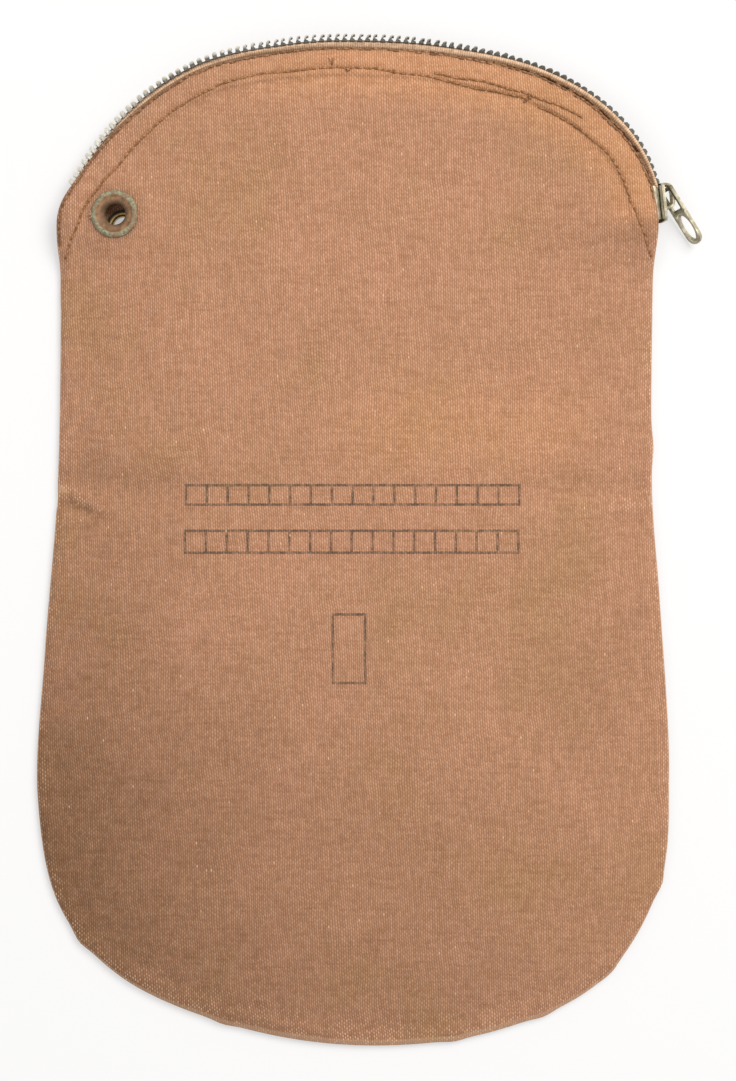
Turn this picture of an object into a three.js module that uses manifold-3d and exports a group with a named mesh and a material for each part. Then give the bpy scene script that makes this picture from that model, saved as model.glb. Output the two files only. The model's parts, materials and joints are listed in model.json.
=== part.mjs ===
// Bank deposit bag: a flat canvas pouch with a rounded foot and an arched zip mouth.
// It lies on its back with the zip open and the slider parked at the right-hand end.
// Each wall carries a brass grommet near the other end of the zip.
// Millimetres: +X to the right of the front, +Y towards the mouth, +Z up from the surface.

import * as THREE from "three";
import { mergeVertices } from "three/addons/utils/BufferGeometryUtils.js";
import Module from "manifold-3d";

const wasm = await Module();
wasm.setup();

const { degToRad, lerp, smoothstep } = THREE.MathUtils;

// Clearance between pieces that touch on the real bag
const CLEAR = 0.3;

// Outline of both canvas walls, anticlockwise from the right end of the zip.
// The first eleven rows are the mouth, the rest are the side and foot seams.
const EDGE = [
  { x: 92.7, y: 103.2 }, // right end of the zip
  { x: 86.9, y: 120.7 },
  { x: 72.8, y: 137.0 },
  { x: 53.1, y: 148.3 },
  { x: 23.0, y: 155.2 },
  { x: -2.3, y: 157.1 }, // top of the mouth
  { x: -24.9, y: 156.2 },
  { x: -54.3, y: 150.1 },
  { x: -80.5, y: 131.9 },
  { x: -95.8, y: 111.5 },
  { x: -99.6, y: 97.5 }, // left end of the zip
  { x: -99.4, y: 71.1 },
  { x: -100.5, y: 15.5 }, // left end of the cross fold
  { x: -104.5, y: -35.6 },
  { x: -106.8, y: -84.1 },
  { x: -99.6, y: -118.7 },
  { x: -80.2, y: -141.0 },
  { x: -41.4, y: -157.5 },
  { x: 0.6, y: -163.4 }, // bottom of the foot
  { x: 42.7, y: -158.2 },
  { x: 75.7, y: -142.0 },
  { x: 94.5, y: -110.6 },
  { x: 97.4, y: -76.0 },
  { x: 94.4, y: -19.4 },
  { x: 91.9, y: 15.5 }, // right end of the cross fold
  { x: 92.2, y: 85.7 },
];
const MOUTH_ROWS = 10;
const SPOKES_PER_ROW = 3;

// Canvas walls
const CANVAS = 1.0;
const HEM_EXTRA = 0.7;
const HEM_WIDTH = 8.0;
const HEM_STEP = 1.0;
const HEM_FADE = 5;
const EDGE_ROUNDING = 1.5;
const FRONT_EDGE_SHARE = 0.45;
const BACK_EDGE_SHARE = 0.35;
const TAPE_COVER = 8.0;
const SHOULDER_INSET = 22;
const CROWN_INSET = 45;
const CORE_SHARE = 0.35;

// Clear height between the walls in the middle of the bag, and the fold across it
const SWELL = { foot: 5.6, foot_y: -110, mouth: 8.8, mouth_y: 125 };
const FOLD = { y: 15.5, depth: 1.3, width: 5, fade_from: 25, fade_to: 75 };
const CENTRE_X = -4;

// Zip
const TAPE = 0.8;
const TAPE_TUCK = 0.2;
const TAPE_SHORT_SPOKES = 2;
const TOOTH = { pitch: 2.42, width: 1.15, length: 3.1, leg: 2.2, head: 1.5 };
const CORD = { from: 0.25, to: 1.35, thick: 0.8 };
const ZIP_START = 11.3;
const ZIP_END_MARGIN = 17;

// Slider and pull tab
const SLIDER = {
  along: 5, out: 1.1, height: 5.75, tilt: 12, turn: 5.4,
  length: 12, mouth: 8.8, tail: 7.0, thick: 4.0, plate: 1.0,
  channel: 5.9, slot: 0.9, corner: 1.2, waist: -2, throat_from: -3, throat_to: 1,
};
const WEDGE = { from: -6, shoulder: -4.6, tip: -0.8, neck: 1.4, wide: 2.4 };
const BRIDGE = { from: -6.3, to: 2.2, inner: 3.2, outer: 4.1, leg: 0.9, wide: 2.6, root: 0.5, corner: 0.4 };
const TAB = {
  at: -4.1, above: 1.92, length: 20.0, wide: 6.2, thick: 0.9, bar: 0.6,
  eye_end: 7.4, arm: 1.2, eye_corner: 0.5, swing: 25, twist: 22,
  hole_from: 9.6, hole_to: 18.4, hole_wide: 4.2,
};

// Grommets: a flange with a raised rim, a barrel, and a flared end inside the bag
const GROMMET = { x: -81.0, y: 104.5, back_dx: 2.13, back_dy: -3.38, sides: 20 };
const FLANGE = {
  hole: 3.4, barrel: 3.75, rim: 7.6, flare: 5.6, rise: 1.35,
  lip: 0.4, band_out: 0.6, band_in: 1.7, dish: 1.0, dish_drop: 0.45, hole_drop: 1.15, flare_thick: 0.6,
};
const DIMPLE = { flat: 8.1, foot: 10.2, skirt: 11.2, lean: 0.4, rise: 1.65 };

// Reach of a cutting disc past the wall it cuts, welding distance, and steps round a corner and an arc
const CUT_PAST = 9;
const WELD = 1e-4;
const CORNER_STEPS = 3;
const ARC_STEPS = 8;

// Colours and finishes
const FINISH = {
  canvas: { color: 0xbb8d6c, roughness: 0.92, metalness: 0 },
  tape: { color: 0xd0a582, roughness: 0.9, metalness: 0 },
  teeth: { color: 0x8c8a7c, roughness: 0.42, metalness: 1 },
  slider: { color: 0xcfc7a2, roughness: 0.38, metalness: 1 },
  brass: { color: 0x96a087, roughness: 0.6, metalness: 0.7 },
};

const UP = new THREE.Vector3(0, 0, 1);
const CENTRE = new THREE.Vector3(CENTRE_X, FOLD.y, 0);

// Value of a table's column at a place along it, eased between neighbouring rows.
function easeRows(rows, column, along) {
  const next = rows.findIndex((row) => row.along > along);
  if (next === 0) return rows[0][column];
  if (next < 0) return rows[rows.length - 1][column];
  const before = rows[next - 1];
  const after = rows[next];
  return lerp(before[column], after[column], smoothstep(along, before.along, after.along));
}

// The outline as a smooth curve, sampled finely with its distance from the right end of the zip.
const edgeCurve = new THREE.CatmullRomCurve3(
  EDGE.map(({ x, y }) => new THREE.Vector3(x, y, 0)), true, "centripetal",
);
const SAMPLES_PER_ROW = 60;
const edgeSamples = edgeCurve.getPoints(EDGE.length * SAMPLES_PER_ROW);
const edgeAlong = edgeSamples.reduce((distances, point, index) => {
  const step = index === 0 ? 0 : point.distanceTo(edgeSamples[index - 1]);
  distances.push(index === 0 ? 0 : distances[index - 1] + step);
  return distances;
}, []);
const PERIMETER = edgeAlong[edgeAlong.length - 1];
const MOUTH_LENGTH = edgeAlong[MOUTH_ROWS * SAMPLES_PER_ROW];

// Clear height between the walls along the edge: shut at the seams, gaping at the mouth.
const GAPE = [
  { along: -20, gap: CLEAR },
  { along: 2, gap: 9.5 },
  { along: 20, gap: 9.5 },
  { along: 90, gap: 9.2 },
  { along: MOUTH_LENGTH - 75, gap: 9.0 },
  { along: MOUTH_LENGTH - 14, gap: 5.7 },
  { along: MOUTH_LENGTH + 14, gap: CLEAR },
];

// Each tooth row's place from the canvas edge: tape strip showing, then the row's start and its roll.
const FRONT_ROW = [
  { along: 11, strip: 0.7, out: 2.6, up: -0.2, roll: 102 },
  { along: 55, strip: 0.6, out: 1.9, up: -0.2, roll: 62 },
  { along: 125, strip: 1.7, out: 2.05, up: -0.1, roll: 12 },
  { along: MOUTH_LENGTH - 60, strip: 0.9, out: 1.25, up: -0.7, roll: 10 },
  { along: MOUTH_LENGTH - 17, strip: -1.8, out: -1.4, up: -0.9, roll: 0 },
];
const BACK_ROW = [
  { along: 11, strip: -0.7, out: 1.0, up: 0.3, roll: 78 },
  { along: 45, strip: 0.6, out: 1.3, up: 0.1, roll: 30 },
  { along: 110, strip: 1.5, out: 1.85, up: 0, roll: 0 },
  { along: MOUTH_LENGTH - 60, strip: 0.9, out: 1.25, up: 0.7, roll: 0 },
  { along: MOUTH_LENGTH - 17, strip: -1.8, out: -1.4, up: 0.7, roll: 0 },
];

// Point, direction along and direction outwards on the edge, at a distance from the right end of the zip.
function edgeFrame(along) {
  const wrapped = (along + PERIMETER) % PERIMETER;
  const index = Math.max(1, edgeAlong.findIndex((distance) => distance >= wrapped));
  const before = edgeSamples[index - 1];
  const after = edgeSamples[index];
  const share = (wrapped - edgeAlong[index - 1]) / (edgeAlong[index] - edgeAlong[index - 1]);
  const point = before.clone().lerp(after, share);
  const ahead = after.clone().sub(before).normalize();
  return { point, ahead, out: ahead.clone().cross(UP) };
}

// Distance in from the nearest edge, and where along the edge that is.
function nearestEdge(x, y) {
  const distances = edgeSamples.map((point) => Math.hypot(point.x - x, point.y - y));
  const inset = Math.min(...distances);
  const along = edgeAlong[distances.indexOf(inset)];
  return { inset, along: along > PERIMETER / 2 + MOUTH_LENGTH / 2 ? along - PERIMETER : along };
}

// Clear height between the walls: it eases from the edge to the swell of the middle, less the cross fold.
function insideHeight(x, y) {
  const { inset, along } = nearestEdge(x, y);
  const edgeGap = easeRows(GAPE, "gap", along);
  const swell = lerp(SWELL.foot, SWELL.mouth, smoothstep(y, SWELL.foot_y, SWELL.mouth_y));
  const rise = 1 - (1 - Math.min(inset / CROWN_INSET, 1)) ** 2;
  const away = (y - FOLD.y) / FOLD.width;
  const fold = FOLD.depth * Math.exp(-away * away) * smoothstep(Math.abs(x), FOLD.fade_from, FOLD.fade_to);
  return lerp(edgeGap, swell, rise) - Math.min(fold, rise * swell);
}

// Wall thickness: one layer of canvas, and one more where the hem of the mouth is folded under.
function wallThickness(inset, along) {
  const fromRight = smoothstep(along, -HEM_FADE, HEM_FADE);
  const fromLeft = smoothstep(MOUTH_LENGTH - along, -HEM_FADE, HEM_FADE);
  const onMouth = fromRight * fromLeft;
  return CANVAS + (inset <= HEM_WIDTH ? HEM_EXTRA * onMouth : 0);
}

// Spokes from the middle of the bag to the edge carry the rings of both walls.
const SPOKES = EDGE.length * SPOKES_PER_ROW;
const MOUTH_SPOKES = MOUTH_ROWS * SPOKES_PER_ROW;
const spokes = Array.from({ length: SPOKES }, (_, index) => {
  const point = edgeCurve.getPoint(index / SPOKES);
  return { point, along: edgeAlong[(index * SAMPLES_PER_ROW) / SPOKES_PER_ROW] };
});

function spokePoint({ point }, inset) {
  const reach = point.clone().sub(CENTRE);
  return CENTRE.clone().addScaledVector(reach, 1 - inset / reach.length());
}

function coreInset({ point }) {
  return point.distanceTo(CENTRE) * (1 - CORE_SHARE);
}

// Ring of points at an inset from the edge; the height is worked out at each point.
function ring(insetOf, heightOf) {
  return spokes.map((spoke) => {
    const inset = insetOf(spoke);
    const point = spokePoint(spoke, inset);
    return point.setZ(heightOf(point, inset, spoke.along));
  });
}

// Closed surface through a list of rings with equal counts, each end closed by a fan about its middle.
function skinRings(rings) {
  const count = rings[0].length;
  const positions = rings.flat().flatMap((point) => point.toArray());
  const triangles = [];
  for (let band = 0; band + 1 < rings.length; band += 1) {
    for (let side = 0; side < count; side += 1) {
      const here = band * count + side;
      const next = band * count + ((side + 1) % count);
      triangles.push(here, here + count, next + count, here, next + count, next);
    }
  }
  const closeEnd = (band, reversed) => {
    const middle = rings[band].reduce((sum, point) => sum.add(point), new THREE.Vector3());
    const hub = positions.length / 3;
    positions.push(...middle.divideScalar(count).toArray());
    for (let side = 0; side < count; side += 1) {
      const here = band * count + side;
      const next = band * count + ((side + 1) % count);
      triangles.push(hub, ...(reversed ? [next, here] : [here, next]));
    }
  };
  closeEnd(0, false);
  closeEnd(rings.length - 1, true);
  const geometry = new THREE.BufferGeometry();
  geometry.setAttribute("position", new THREE.Float32BufferAttribute(positions, 3));
  geometry.setIndex(triangles);
  return geometry;
}

// Solid for cutting and joining, from a closed geometry placed by a matrix.
function solid(geometry, placed = new THREE.Matrix4()) {
  const bare = geometry.clone().applyMatrix4(placed);
  bare.deleteAttribute("normal");
  bare.deleteAttribute("uv");
  const merged = mergeVertices(bare, WELD);
  return new wasm.Manifold(new wasm.Mesh({
    numProp: 3,
    vertProperties: new Float32Array(merged.attributes.position.array),
    triVerts: new Uint32Array(merged.index.array),
  }));
}

function solidGeometry(body) {
  const { vertProperties, triVerts } = body.getMesh();
  const geometry = new THREE.BufferGeometry();
  geometry.setAttribute("position", new THREE.BufferAttribute(vertProperties, 3));
  geometry.setIndex(new THREE.BufferAttribute(triVerts, 1));
  return geometry;
}

function lathe(profile, sides) {
  const closed = [...profile, profile[0]].map(([radius, height]) => new THREE.Vector2(radius, height));
  return new THREE.LatheGeometry(closed, sides).rotateX(Math.PI / 2);
}

// Disc about the Z axis between two heights
function disc(radius, low, high, sides) {
  return new THREE.CylinderGeometry(radius, radius, high - low, sides)
    .rotateX(Math.PI / 2)
    .translate(0, 0, (low + high) / 2);
}

// Grommet about the Z axis, with the outer face of the canvas at height 0
function grommetGeometry() {
  const { hole, barrel, rim, flare, rise } = FLANGE;
  const inside = -CANVAS - CLEAR;
  const profile = [
    [hole, inside - FLANGE.flare_thick],
    [flare, inside - FLANGE.flare_thick],
    [flare, inside],
    [barrel, inside],
    [barrel, CLEAR],
    [rim - FLANGE.lip, CLEAR],
    [rim, CLEAR + FLANGE.lip],
    [rim - FLANGE.band_out, rise],
    [rim - FLANGE.band_in, rise],
    [hole + FLANGE.dish, rise - FLANGE.dish_drop],
    [hole, rise - FLANGE.hole_drop],
  ];
  return lathe(profile, GROMMET.sides);
}

// Room that a grommet takes up in its wall
function grommetRoom() {
  const { sides } = GROMMET;
  return solid(disc(FLANGE.barrel + CLEAR, -CUT_PAST, CUT_PAST, sides))
    .add(solid(disc(FLANGE.rim + CLEAR, 0, CUT_PAST, sides)))
    .add(solid(disc(FLANGE.flare + CLEAR, -CUT_PAST, -CANVAS, sides)));
}

function outerHeight(x, y) {
  return CANVAS + insideHeight(x, y) + CANVAS;
}

// Front grommet: square to the slope of the front wall
function frontGrommetMatrix() {
  const { x, y } = GROMMET;
  const reach = FLANGE.rim;
  const slopeX = (outerHeight(x + reach, y) - outerHeight(x - reach, y)) / (2 * reach);
  const slopeY = (outerHeight(x, y + reach) - outerHeight(x, y - reach)) / (2 * reach);
  const normal = new THREE.Vector3(-slopeX, -slopeY, 1).normalize();
  const turn = new THREE.Quaternion().setFromUnitVectors(UP, normal);
  const place = new THREE.Vector3(x, y, outerHeight(x, y));
  return new THREE.Matrix4().compose(place, turn, new THREE.Vector3(1, 1, 1));
}

// Back grommet: its flange faces down into the dimple of the back wall
function backGrommetMatrix() {
  const place = new THREE.Vector3(GROMMET.x + GROMMET.back_dx, GROMMET.y + GROMMET.back_dy, DIMPLE.rise);
  const turn = new THREE.Quaternion().setFromAxisAngle(new THREE.Vector3(1, 0, 0), Math.PI);
  return new THREE.Matrix4().compose(place, turn, new THREE.Vector3(1, 1, 1));
}

function frontPanel() {
  const inner = (point) => CANVAS + insideHeight(point.x, point.y);
  const outer = (point, inset, along) => inner(point) + wallThickness(inset, along);
  const rounded = (point, inset, along) => inner(point) + FRONT_EDGE_SHARE * wallThickness(inset, along);
  const at = (inset) => () => inset;
  const rings = [
    ring(coreInset, outer),
    ring(at(CROWN_INSET), outer),
    ring(at(SHOULDER_INSET), outer),
    ring(at(HEM_WIDTH + HEM_STEP), outer),
    ring(at(HEM_WIDTH), outer),
    ring(at(EDGE_ROUNDING), outer),
    ring(at(0), rounded),
    ring(at(0), inner),
    ring(at(TAPE_COVER), inner),
    ring(at(SHOULDER_INSET), inner),
    ring(at(CROWN_INSET), inner),
    ring(coreInset, inner),
  ];
  const wall = solid(skinRings(rings));
  const room = grommetRoom().transform(frontGrommetMatrix().toArray());
  return solidGeometry(wall.subtract(room));
}

function backPanel() {
  const flat = (height) => () => height;
  const at = (inset) => () => inset;
  const rings = [
    ring(at(EDGE_ROUNDING), flat(CANVAS)),
    ring(at(0), flat(CANVAS)),
    ring(at(0), flat(BACK_EDGE_SHARE * CANVAS)),
    ring(at(EDGE_ROUNDING), flat(0)),
  ];
  const { skirt, lean, rise } = DIMPLE;
  const hole = FLANGE.barrel + CLEAR;
  const dimple = lathe([
    [hole, rise],
    [DIMPLE.flat, rise],
    [DIMPLE.foot, 0],
    [skirt, 0],
    [skirt, CANVAS],
    [DIMPLE.foot + lean, CANVAS],
    [DIMPLE.flat + lean, rise + CANVAS],
    [hole, rise + CANVAS],
  ], GROMMET.sides);
  const { x, y } = new THREE.Vector3().setFromMatrixPosition(backGrommetMatrix());
  const placed = new THREE.Matrix4().makeTranslation(x, y, 0);
  const cutRadius = (DIMPLE.foot + lean + skirt) / 2;
  const wall = solid(skinRings(rings))
    .subtract(solid(disc(cutRadius, -CUT_PAST, CUT_PAST, GROMMET.sides), placed))
    .add(solid(dimple, placed));
  return solidGeometry(wall);
}

// Zip tape under a hem: it lies against the wall's inner face and shows as a strip past the canvas edge.
function zipTape(rows, faceHeight, side) {
  const lastSpoke = MOUTH_SPOKES - TAPE_SHORT_SPOKES;
  const rings = [];
  spokes.slice(0, lastSpoke + 1).forEach((spoke) => {
    if (spoke.along < ZIP_START) return;
    const strip = easeRows(rows, "strip", spoke.along);
    const { out } = edgeFrame(spoke.along);
    const hidden = spokePoint(spoke, TAPE_COVER);
    const edge = spoke.point.clone().addScaledVector(out, Math.min(strip, 0) - TAPE_TUCK);
    const end = spoke.point.clone().addScaledVector(out, strip);
    const places = [hidden, edge, end];
    const wallPoints = [hidden, spoke.point, spoke.point];
    const against = wallPoints.map((point) => faceHeight(point) - side * CLEAR);
    const top = places.map((point, index) => point.clone().setZ(against[index] + (side > 0 ? 0 : TAPE)));
    const bottom = top.map((point) => point.clone().setZ(point.z - TAPE));
    rings.push([...bottom, ...top.reverse()]);
  });
  return skinRings(rings);
}

// Row of teeth fused on its cord: sections of cord and tooth by turns, carried along the edge.
// "lean" is 1 for the front row, which rolls down towards the slider, and -1 for the back row.
function zipTeeth(rows, faceHeight, lean) {
  const tapeMiddle = CLEAR + TAPE / 2;
  const cordSection = [
    [CORD.from, -CORD.thick / 2], [CORD.to, -CORD.thick / 2],
    [CORD.to, CORD.thick / 2], [CORD.from, CORD.thick / 2],
  ];
  const toothSection = [
    [0, -TOOTH.leg / 2], [TOOTH.length, -TOOTH.head / 2],
    [TOOTH.length, TOOTH.head / 2], [0, TOOTH.leg / 2],
  ];
  const sectionAt = (along, section) => {
    const { point, out } = edgeFrame(along);
    const roll = degToRad(easeRows(rows, "roll", along)) * lean;
    const reach = out.clone().multiplyScalar(Math.cos(roll)).addScaledVector(UP, -Math.sin(roll));
    const thick = out.clone().multiplyScalar(Math.sin(roll)).addScaledVector(UP, Math.cos(roll));
    const height = faceHeight(point) - lean * tapeMiddle + easeRows(rows, "up", along);
    const start = point.clone().addScaledVector(out, easeRows(rows, "out", along)).setZ(height);
    const place = ([far, off]) => start.clone().addScaledVector(reach, far).addScaledVector(thick, off);
    return section.map(place);
  };
  const count = Math.floor((MOUTH_LENGTH - ZIP_END_MARGIN - ZIP_START) / TOOTH.pitch);
  const rings = [];
  for (let tooth = 0; tooth < count; tooth += 1) {
    const from = ZIP_START + tooth * TOOTH.pitch;
    const to = from + TOOTH.width;
    rings.push(sectionAt(from, cordSection), sectionAt(from, toothSection));
    rings.push(sectionAt(to, toothSection), sectionAt(to, cordSection));
  }
  return skinRings(rings.slice(1, -1));
}

// Outline with rounded corners through a list of points in the plane
function roundedShape(points, radius) {
  const shape = new THREE.Shape();
  points.forEach(([x, y], index) => {
    const corner = new THREE.Vector2(x, y);
    const [before, after] = [index + points.length - 1, index + 1].map((other) => {
      const [nearX, nearY] = points[other % points.length];
      const towards = new THREE.Vector2(nearX, nearY).sub(corner).normalize();
      return corner.clone().addScaledVector(towards, radius);
    });
    if (index === 0) shape.moveTo(before.x, before.y);
    else shape.lineTo(before.x, before.y);
    shape.quadraticCurveTo(corner.x, corner.y, after.x, after.y);
  });
  shape.closePath();
  return shape;
}

function extrude(shape, low, high) {
  const options = { depth: high - low, bevelEnabled: false, curveSegments: CORNER_STEPS };
  return new THREE.ExtrudeGeometry(shape, options).translate(0, 0, low);
}

function polygon(points) {
  return new THREE.Shape(points.map(([x, y]) => new THREE.Vector2(x, y)));
}

// Slider in its own frame: x across the zip, y from its mouth to its tail, z outwards.
function sliderGeometry() {
  const { length, mouth, tail, thick, plate, channel, slot, corner } = SLIDER;
  const { waist, throat_from, throat_to } = SLIDER;
  const end = length / 2;
  const face = thick / 2;
  const gap = face - plate;
  const block = roundedShape([
    [-mouth / 2, -end], [mouth / 2, -end], [mouth / 2, waist],
    [tail / 2, end], [-tail / 2, end], [-mouth / 2, waist],
  ], corner);
  const throat = polygon([
    [-mouth, -length], [mouth, -length], [mouth / 2, throat_from], [channel / 2, throat_to],
    [channel / 2, length], [-channel / 2, length], [-channel / 2, throat_to], [-mouth / 2, throat_from],
  ]);
  const wedge = polygon([
    [-WEDGE.neck / 2, WEDGE.from], [WEDGE.neck / 2, WEDGE.from], [WEDGE.wide / 2, WEDGE.shoulder],
    [0, WEDGE.tip], [-WEDGE.wide / 2, WEDGE.shoulder],
  ]);
  const tapeSlot = polygon([[-mouth, -length], [mouth, -length], [mouth, length], [-mouth, length]]);
  const { from, to, leg, wide, root } = BRIDGE;
  const crown = face + BRIDGE.outer;
  const clear = face + BRIDGE.inner;
  const archCorners = [[from, face - root], [from, crown], [to, crown], [to, face - root]];
  const windowCorners = [[from + leg, -thick], [from + leg, clear], [to - leg, clear], [to - leg, -thick]];
  const arch = roundedShape(archCorners, BRIDGE.corner);
  const window = roundedShape(windowCorners, BRIDGE.corner);
  const alongSlider = new THREE.Matrix4().makeBasis(
    new THREE.Vector3(0, 1, 0), new THREE.Vector3(0, 0, 1), new THREE.Vector3(1, 0, 0),
  );
  const bridge = solid(extrude(arch, -wide / 2, wide / 2), alongSlider)
    .subtract(solid(extrude(window, -wide, wide), alongSlider));
  return solidGeometry(
    solid(extrude(block, -face, face))
      .subtract(solid(extrude(throat, -gap, gap)))
      .subtract(solid(extrude(tapeSlot, -slot / 2, slot / 2)))
      .add(solid(extrude(wedge, -gap - plate / 2, gap + plate / 2)))
      .add(bridge),
  );
}

// Pull tab in its own frame: the hinge on the x axis, y along the tab, z out of its face.
function pullTabGeometry() {
  const { length, wide, thick, bar, eye_end, arm, hole_from, hole_to, hole_wide } = TAB;
  const half = wide / 2;
  const shape = new THREE.Shape();
  shape.moveTo(-half, -bar);
  shape.lineTo(half, -bar);
  shape.lineTo(half, length - half);
  shape.absarc(0, length - half, half, 0, Math.PI, false);
  shape.closePath();
  const eye = half - arm;
  const holes = [
    roundedShape([[-eye, bar], [-eye, eye_end], [eye, eye_end], [eye, bar]], TAB.eye_corner),
    new THREE.Shape().absellipse(
      0, (hole_from + hole_to) / 2, hole_wide / 2, (hole_to - hole_from) / 2, 0, 2 * Math.PI, true, 0,
    ),
  ];
  shape.holes.push(...holes);
  const options = { depth: thick, bevelEnabled: false, curveSegments: ARC_STEPS };
  return new THREE.ExtrudeGeometry(shape, options).translate(0, 0, -thick / 2);
}

function named(name, geometry, finish) {
  const mesh = new THREE.Mesh(geometry, new THREE.MeshStandardMaterial(FINISH[finish]));
  mesh.name = name;
  return mesh;
}

// Slider and pull tab, standing on edge at the right end of the zip
function sliderGroup() {
  const { point, ahead } = edgeFrame(SLIDER.along);
  const toTail = ahead.clone().negate().applyAxisAngle(UP, -degToRad(SLIDER.turn));
  const out = UP.clone().cross(toTail);
  const tilt = degToRad(SLIDER.tilt);
  const across = UP.clone().multiplyScalar(Math.cos(tilt)).addScaledVector(out, Math.sin(tilt));
  const outwards = out.clone().multiplyScalar(Math.cos(tilt)).addScaledVector(UP, -Math.sin(tilt));
  const group = new THREE.Group();
  group.quaternion.setFromRotationMatrix(new THREE.Matrix4().makeBasis(across, toTail, outwards));
  group.position.copy(point).addScaledVector(out, SLIDER.out).setZ(SLIDER.height);
  const tab = named("pull_tab", pullTabGeometry(), "slider");
  tab.position.set(0, TAB.at, SLIDER.thick / 2 + TAB.above);
  tab.rotation.set(degToRad(TAB.swing), degToRad(-TAB.twist), 0);
  group.add(named("zip_slider", sliderGeometry(), "slider"), tab);
  return group;
}

function placedMesh(name, geometry, finish, matrix) {
  const mesh = named(name, geometry, finish);
  mesh.applyMatrix4(matrix);
  return mesh;
}

const frontFace = (point) => CANVAS + insideHeight(point.x, point.y);
const backFace = () => CANVAS;

const bag = new THREE.Group();
bag.add(
  named("front_panel", frontPanel(), "canvas"),
  named("back_panel", backPanel(), "canvas"),
  named("zip_tape_front", zipTape(FRONT_ROW, frontFace, 1), "tape"),
  named("zip_tape_back", zipTape(BACK_ROW, backFace, -1), "tape"),
  named("zip_teeth_front", zipTeeth(FRONT_ROW, frontFace, 1), "teeth"),
  named("zip_teeth_back", zipTeeth(BACK_ROW, backFace, -1), "teeth"),
  placedMesh("grommet_front", grommetGeometry(), "brass", frontGrommetMatrix()),
  placedMesh("grommet_back", grommetGeometry(), "brass", backGrommetMatrix()),
  sliderGroup(),
);

// The origin lies on the surface, under the middle of the whole bag.
const middle = new THREE.Box3().setFromObject(bag, true).getCenter(new THREE.Vector3());
bag.position.set(-middle.x, -middle.y, 0);

export default bag;
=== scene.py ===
import json

import bpy
import numpy as np
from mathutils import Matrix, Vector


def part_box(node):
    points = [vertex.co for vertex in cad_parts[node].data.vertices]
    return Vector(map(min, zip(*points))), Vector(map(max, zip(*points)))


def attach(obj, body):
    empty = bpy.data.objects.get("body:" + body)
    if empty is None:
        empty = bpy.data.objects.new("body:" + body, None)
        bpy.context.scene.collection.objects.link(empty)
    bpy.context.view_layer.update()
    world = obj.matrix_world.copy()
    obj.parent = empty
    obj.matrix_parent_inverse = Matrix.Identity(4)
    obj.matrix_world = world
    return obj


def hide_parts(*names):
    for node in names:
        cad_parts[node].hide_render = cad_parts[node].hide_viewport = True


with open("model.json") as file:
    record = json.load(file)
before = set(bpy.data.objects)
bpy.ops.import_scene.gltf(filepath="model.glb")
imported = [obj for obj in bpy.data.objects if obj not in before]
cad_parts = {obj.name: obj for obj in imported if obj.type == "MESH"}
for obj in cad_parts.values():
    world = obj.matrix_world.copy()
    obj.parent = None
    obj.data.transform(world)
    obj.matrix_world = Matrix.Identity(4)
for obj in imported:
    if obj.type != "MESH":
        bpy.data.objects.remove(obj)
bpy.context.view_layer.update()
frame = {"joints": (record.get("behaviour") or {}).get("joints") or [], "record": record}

# A worn canvas deposit bag lies on its back with its zip open and the slider at the right end.
# Sizes are millimetres in the frame of the solids; add_piece turns them into metres.
MM = 0.001
UP = np.array([0.0, 0.0, 1.0])
rng = np.random.default_rng(7)

# Outline of the walls, anticlockwise from the right end of the zip; the mouth ends at row MOUTH_ROWS.
EDGE_ROWS = np.array([
    (92.7, 103.2), (87.3, 121.0), (73.2, 137.5), (53.3, 148.6), (23.0, 155.2), (-2.3, 157.1),
    (-24.9, 156.2), (-54.3, 150.1), (-80.5, 131.9), (-95.8, 111.5), (-99.6, 97.5), (-99.4, 71.1),
    (-100.5, 15.5), (-104.5, -35.6), (-106.8, -84.1), (-99.6, -118.7), (-80.2, -141.0),
    (-41.4, -157.5), (0.6, -163.4), (42.7, -158.2), (75.7, -142.0), (94.5, -110.6),
    (97.4, -76.0), (94.4, -19.4), (91.9, 15.5), (92.2, 85.7),
])
MOUTH_ROWS = 10
EDGE_STEPS = 60

# Canvas walls
CANVAS = 1.0
HEM_EXTRA = 0.7
HEM_WIDTH = 8.6
HEM_SOFT = 0.7
HEM_FADE = 6.0
CROWN_INSET = 45.0
SEAM_GAP = 0.12
FOOT_SWELL = 5.6
FOOT_SWELL_Y = -110.0
MOUTH_SWELL = 8.8
MOUTH_SWELL_Y = 125.0
FOLD_Y = 15.5
FOLD_DEPTH = 1.3
FOLD_WIDTH = 5.0
FOLD_FROM = 25.0
FOLD_TO = 75.0
SPOKE_CENTRE = (-4.0, 15.5)


# Curves and tables

def unit(vectors):
    """Vectors divided by their own lengths."""
    return vectors / np.linalg.norm(vectors, axis=-1, keepdims=True)


def turned_left(directions):
    """Directions in the plane after a quarter turn anticlockwise."""
    return np.stack([-directions[..., 1], directions[..., 0]], axis=-1)


def laid_flat(vectors):
    """Vectors of the plane with a height of 0."""
    return np.column_stack([vectors, np.zeros(len(vectors))])


def smoothstep(value, low, high):
    """0 below low, 1 above high, and the cubic 3t^2 - 2t^3 of the share t between them."""
    share = np.clip((value - low) / (high - low), 0.0, 1.0)
    return share * share * (3.0 - 2.0 * share)


def falling(value, low, high):
    """1 below low and 0 above high, with the same easing between them."""
    return smoothstep(-value, -high, -low)


def hump(value, middle, width):
    """A bell curve, exp(-((value - middle) / width)^2)."""
    return np.exp(-(((value - middle) / width) ** 2))


def eased(rows, along):
    """The columns of a table at places along the edge, moving from each row to the next by smoothstep."""
    table = np.array(rows)
    place = np.clip(np.searchsorted(table[:, 0], along) - 1, 0, len(table) - 2)
    share = smoothstep(along, table[place, 0], table[place + 1, 0])[..., None]
    return table[place, 1:] * (1.0 - share) + table[place + 1, 1:] * share


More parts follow.
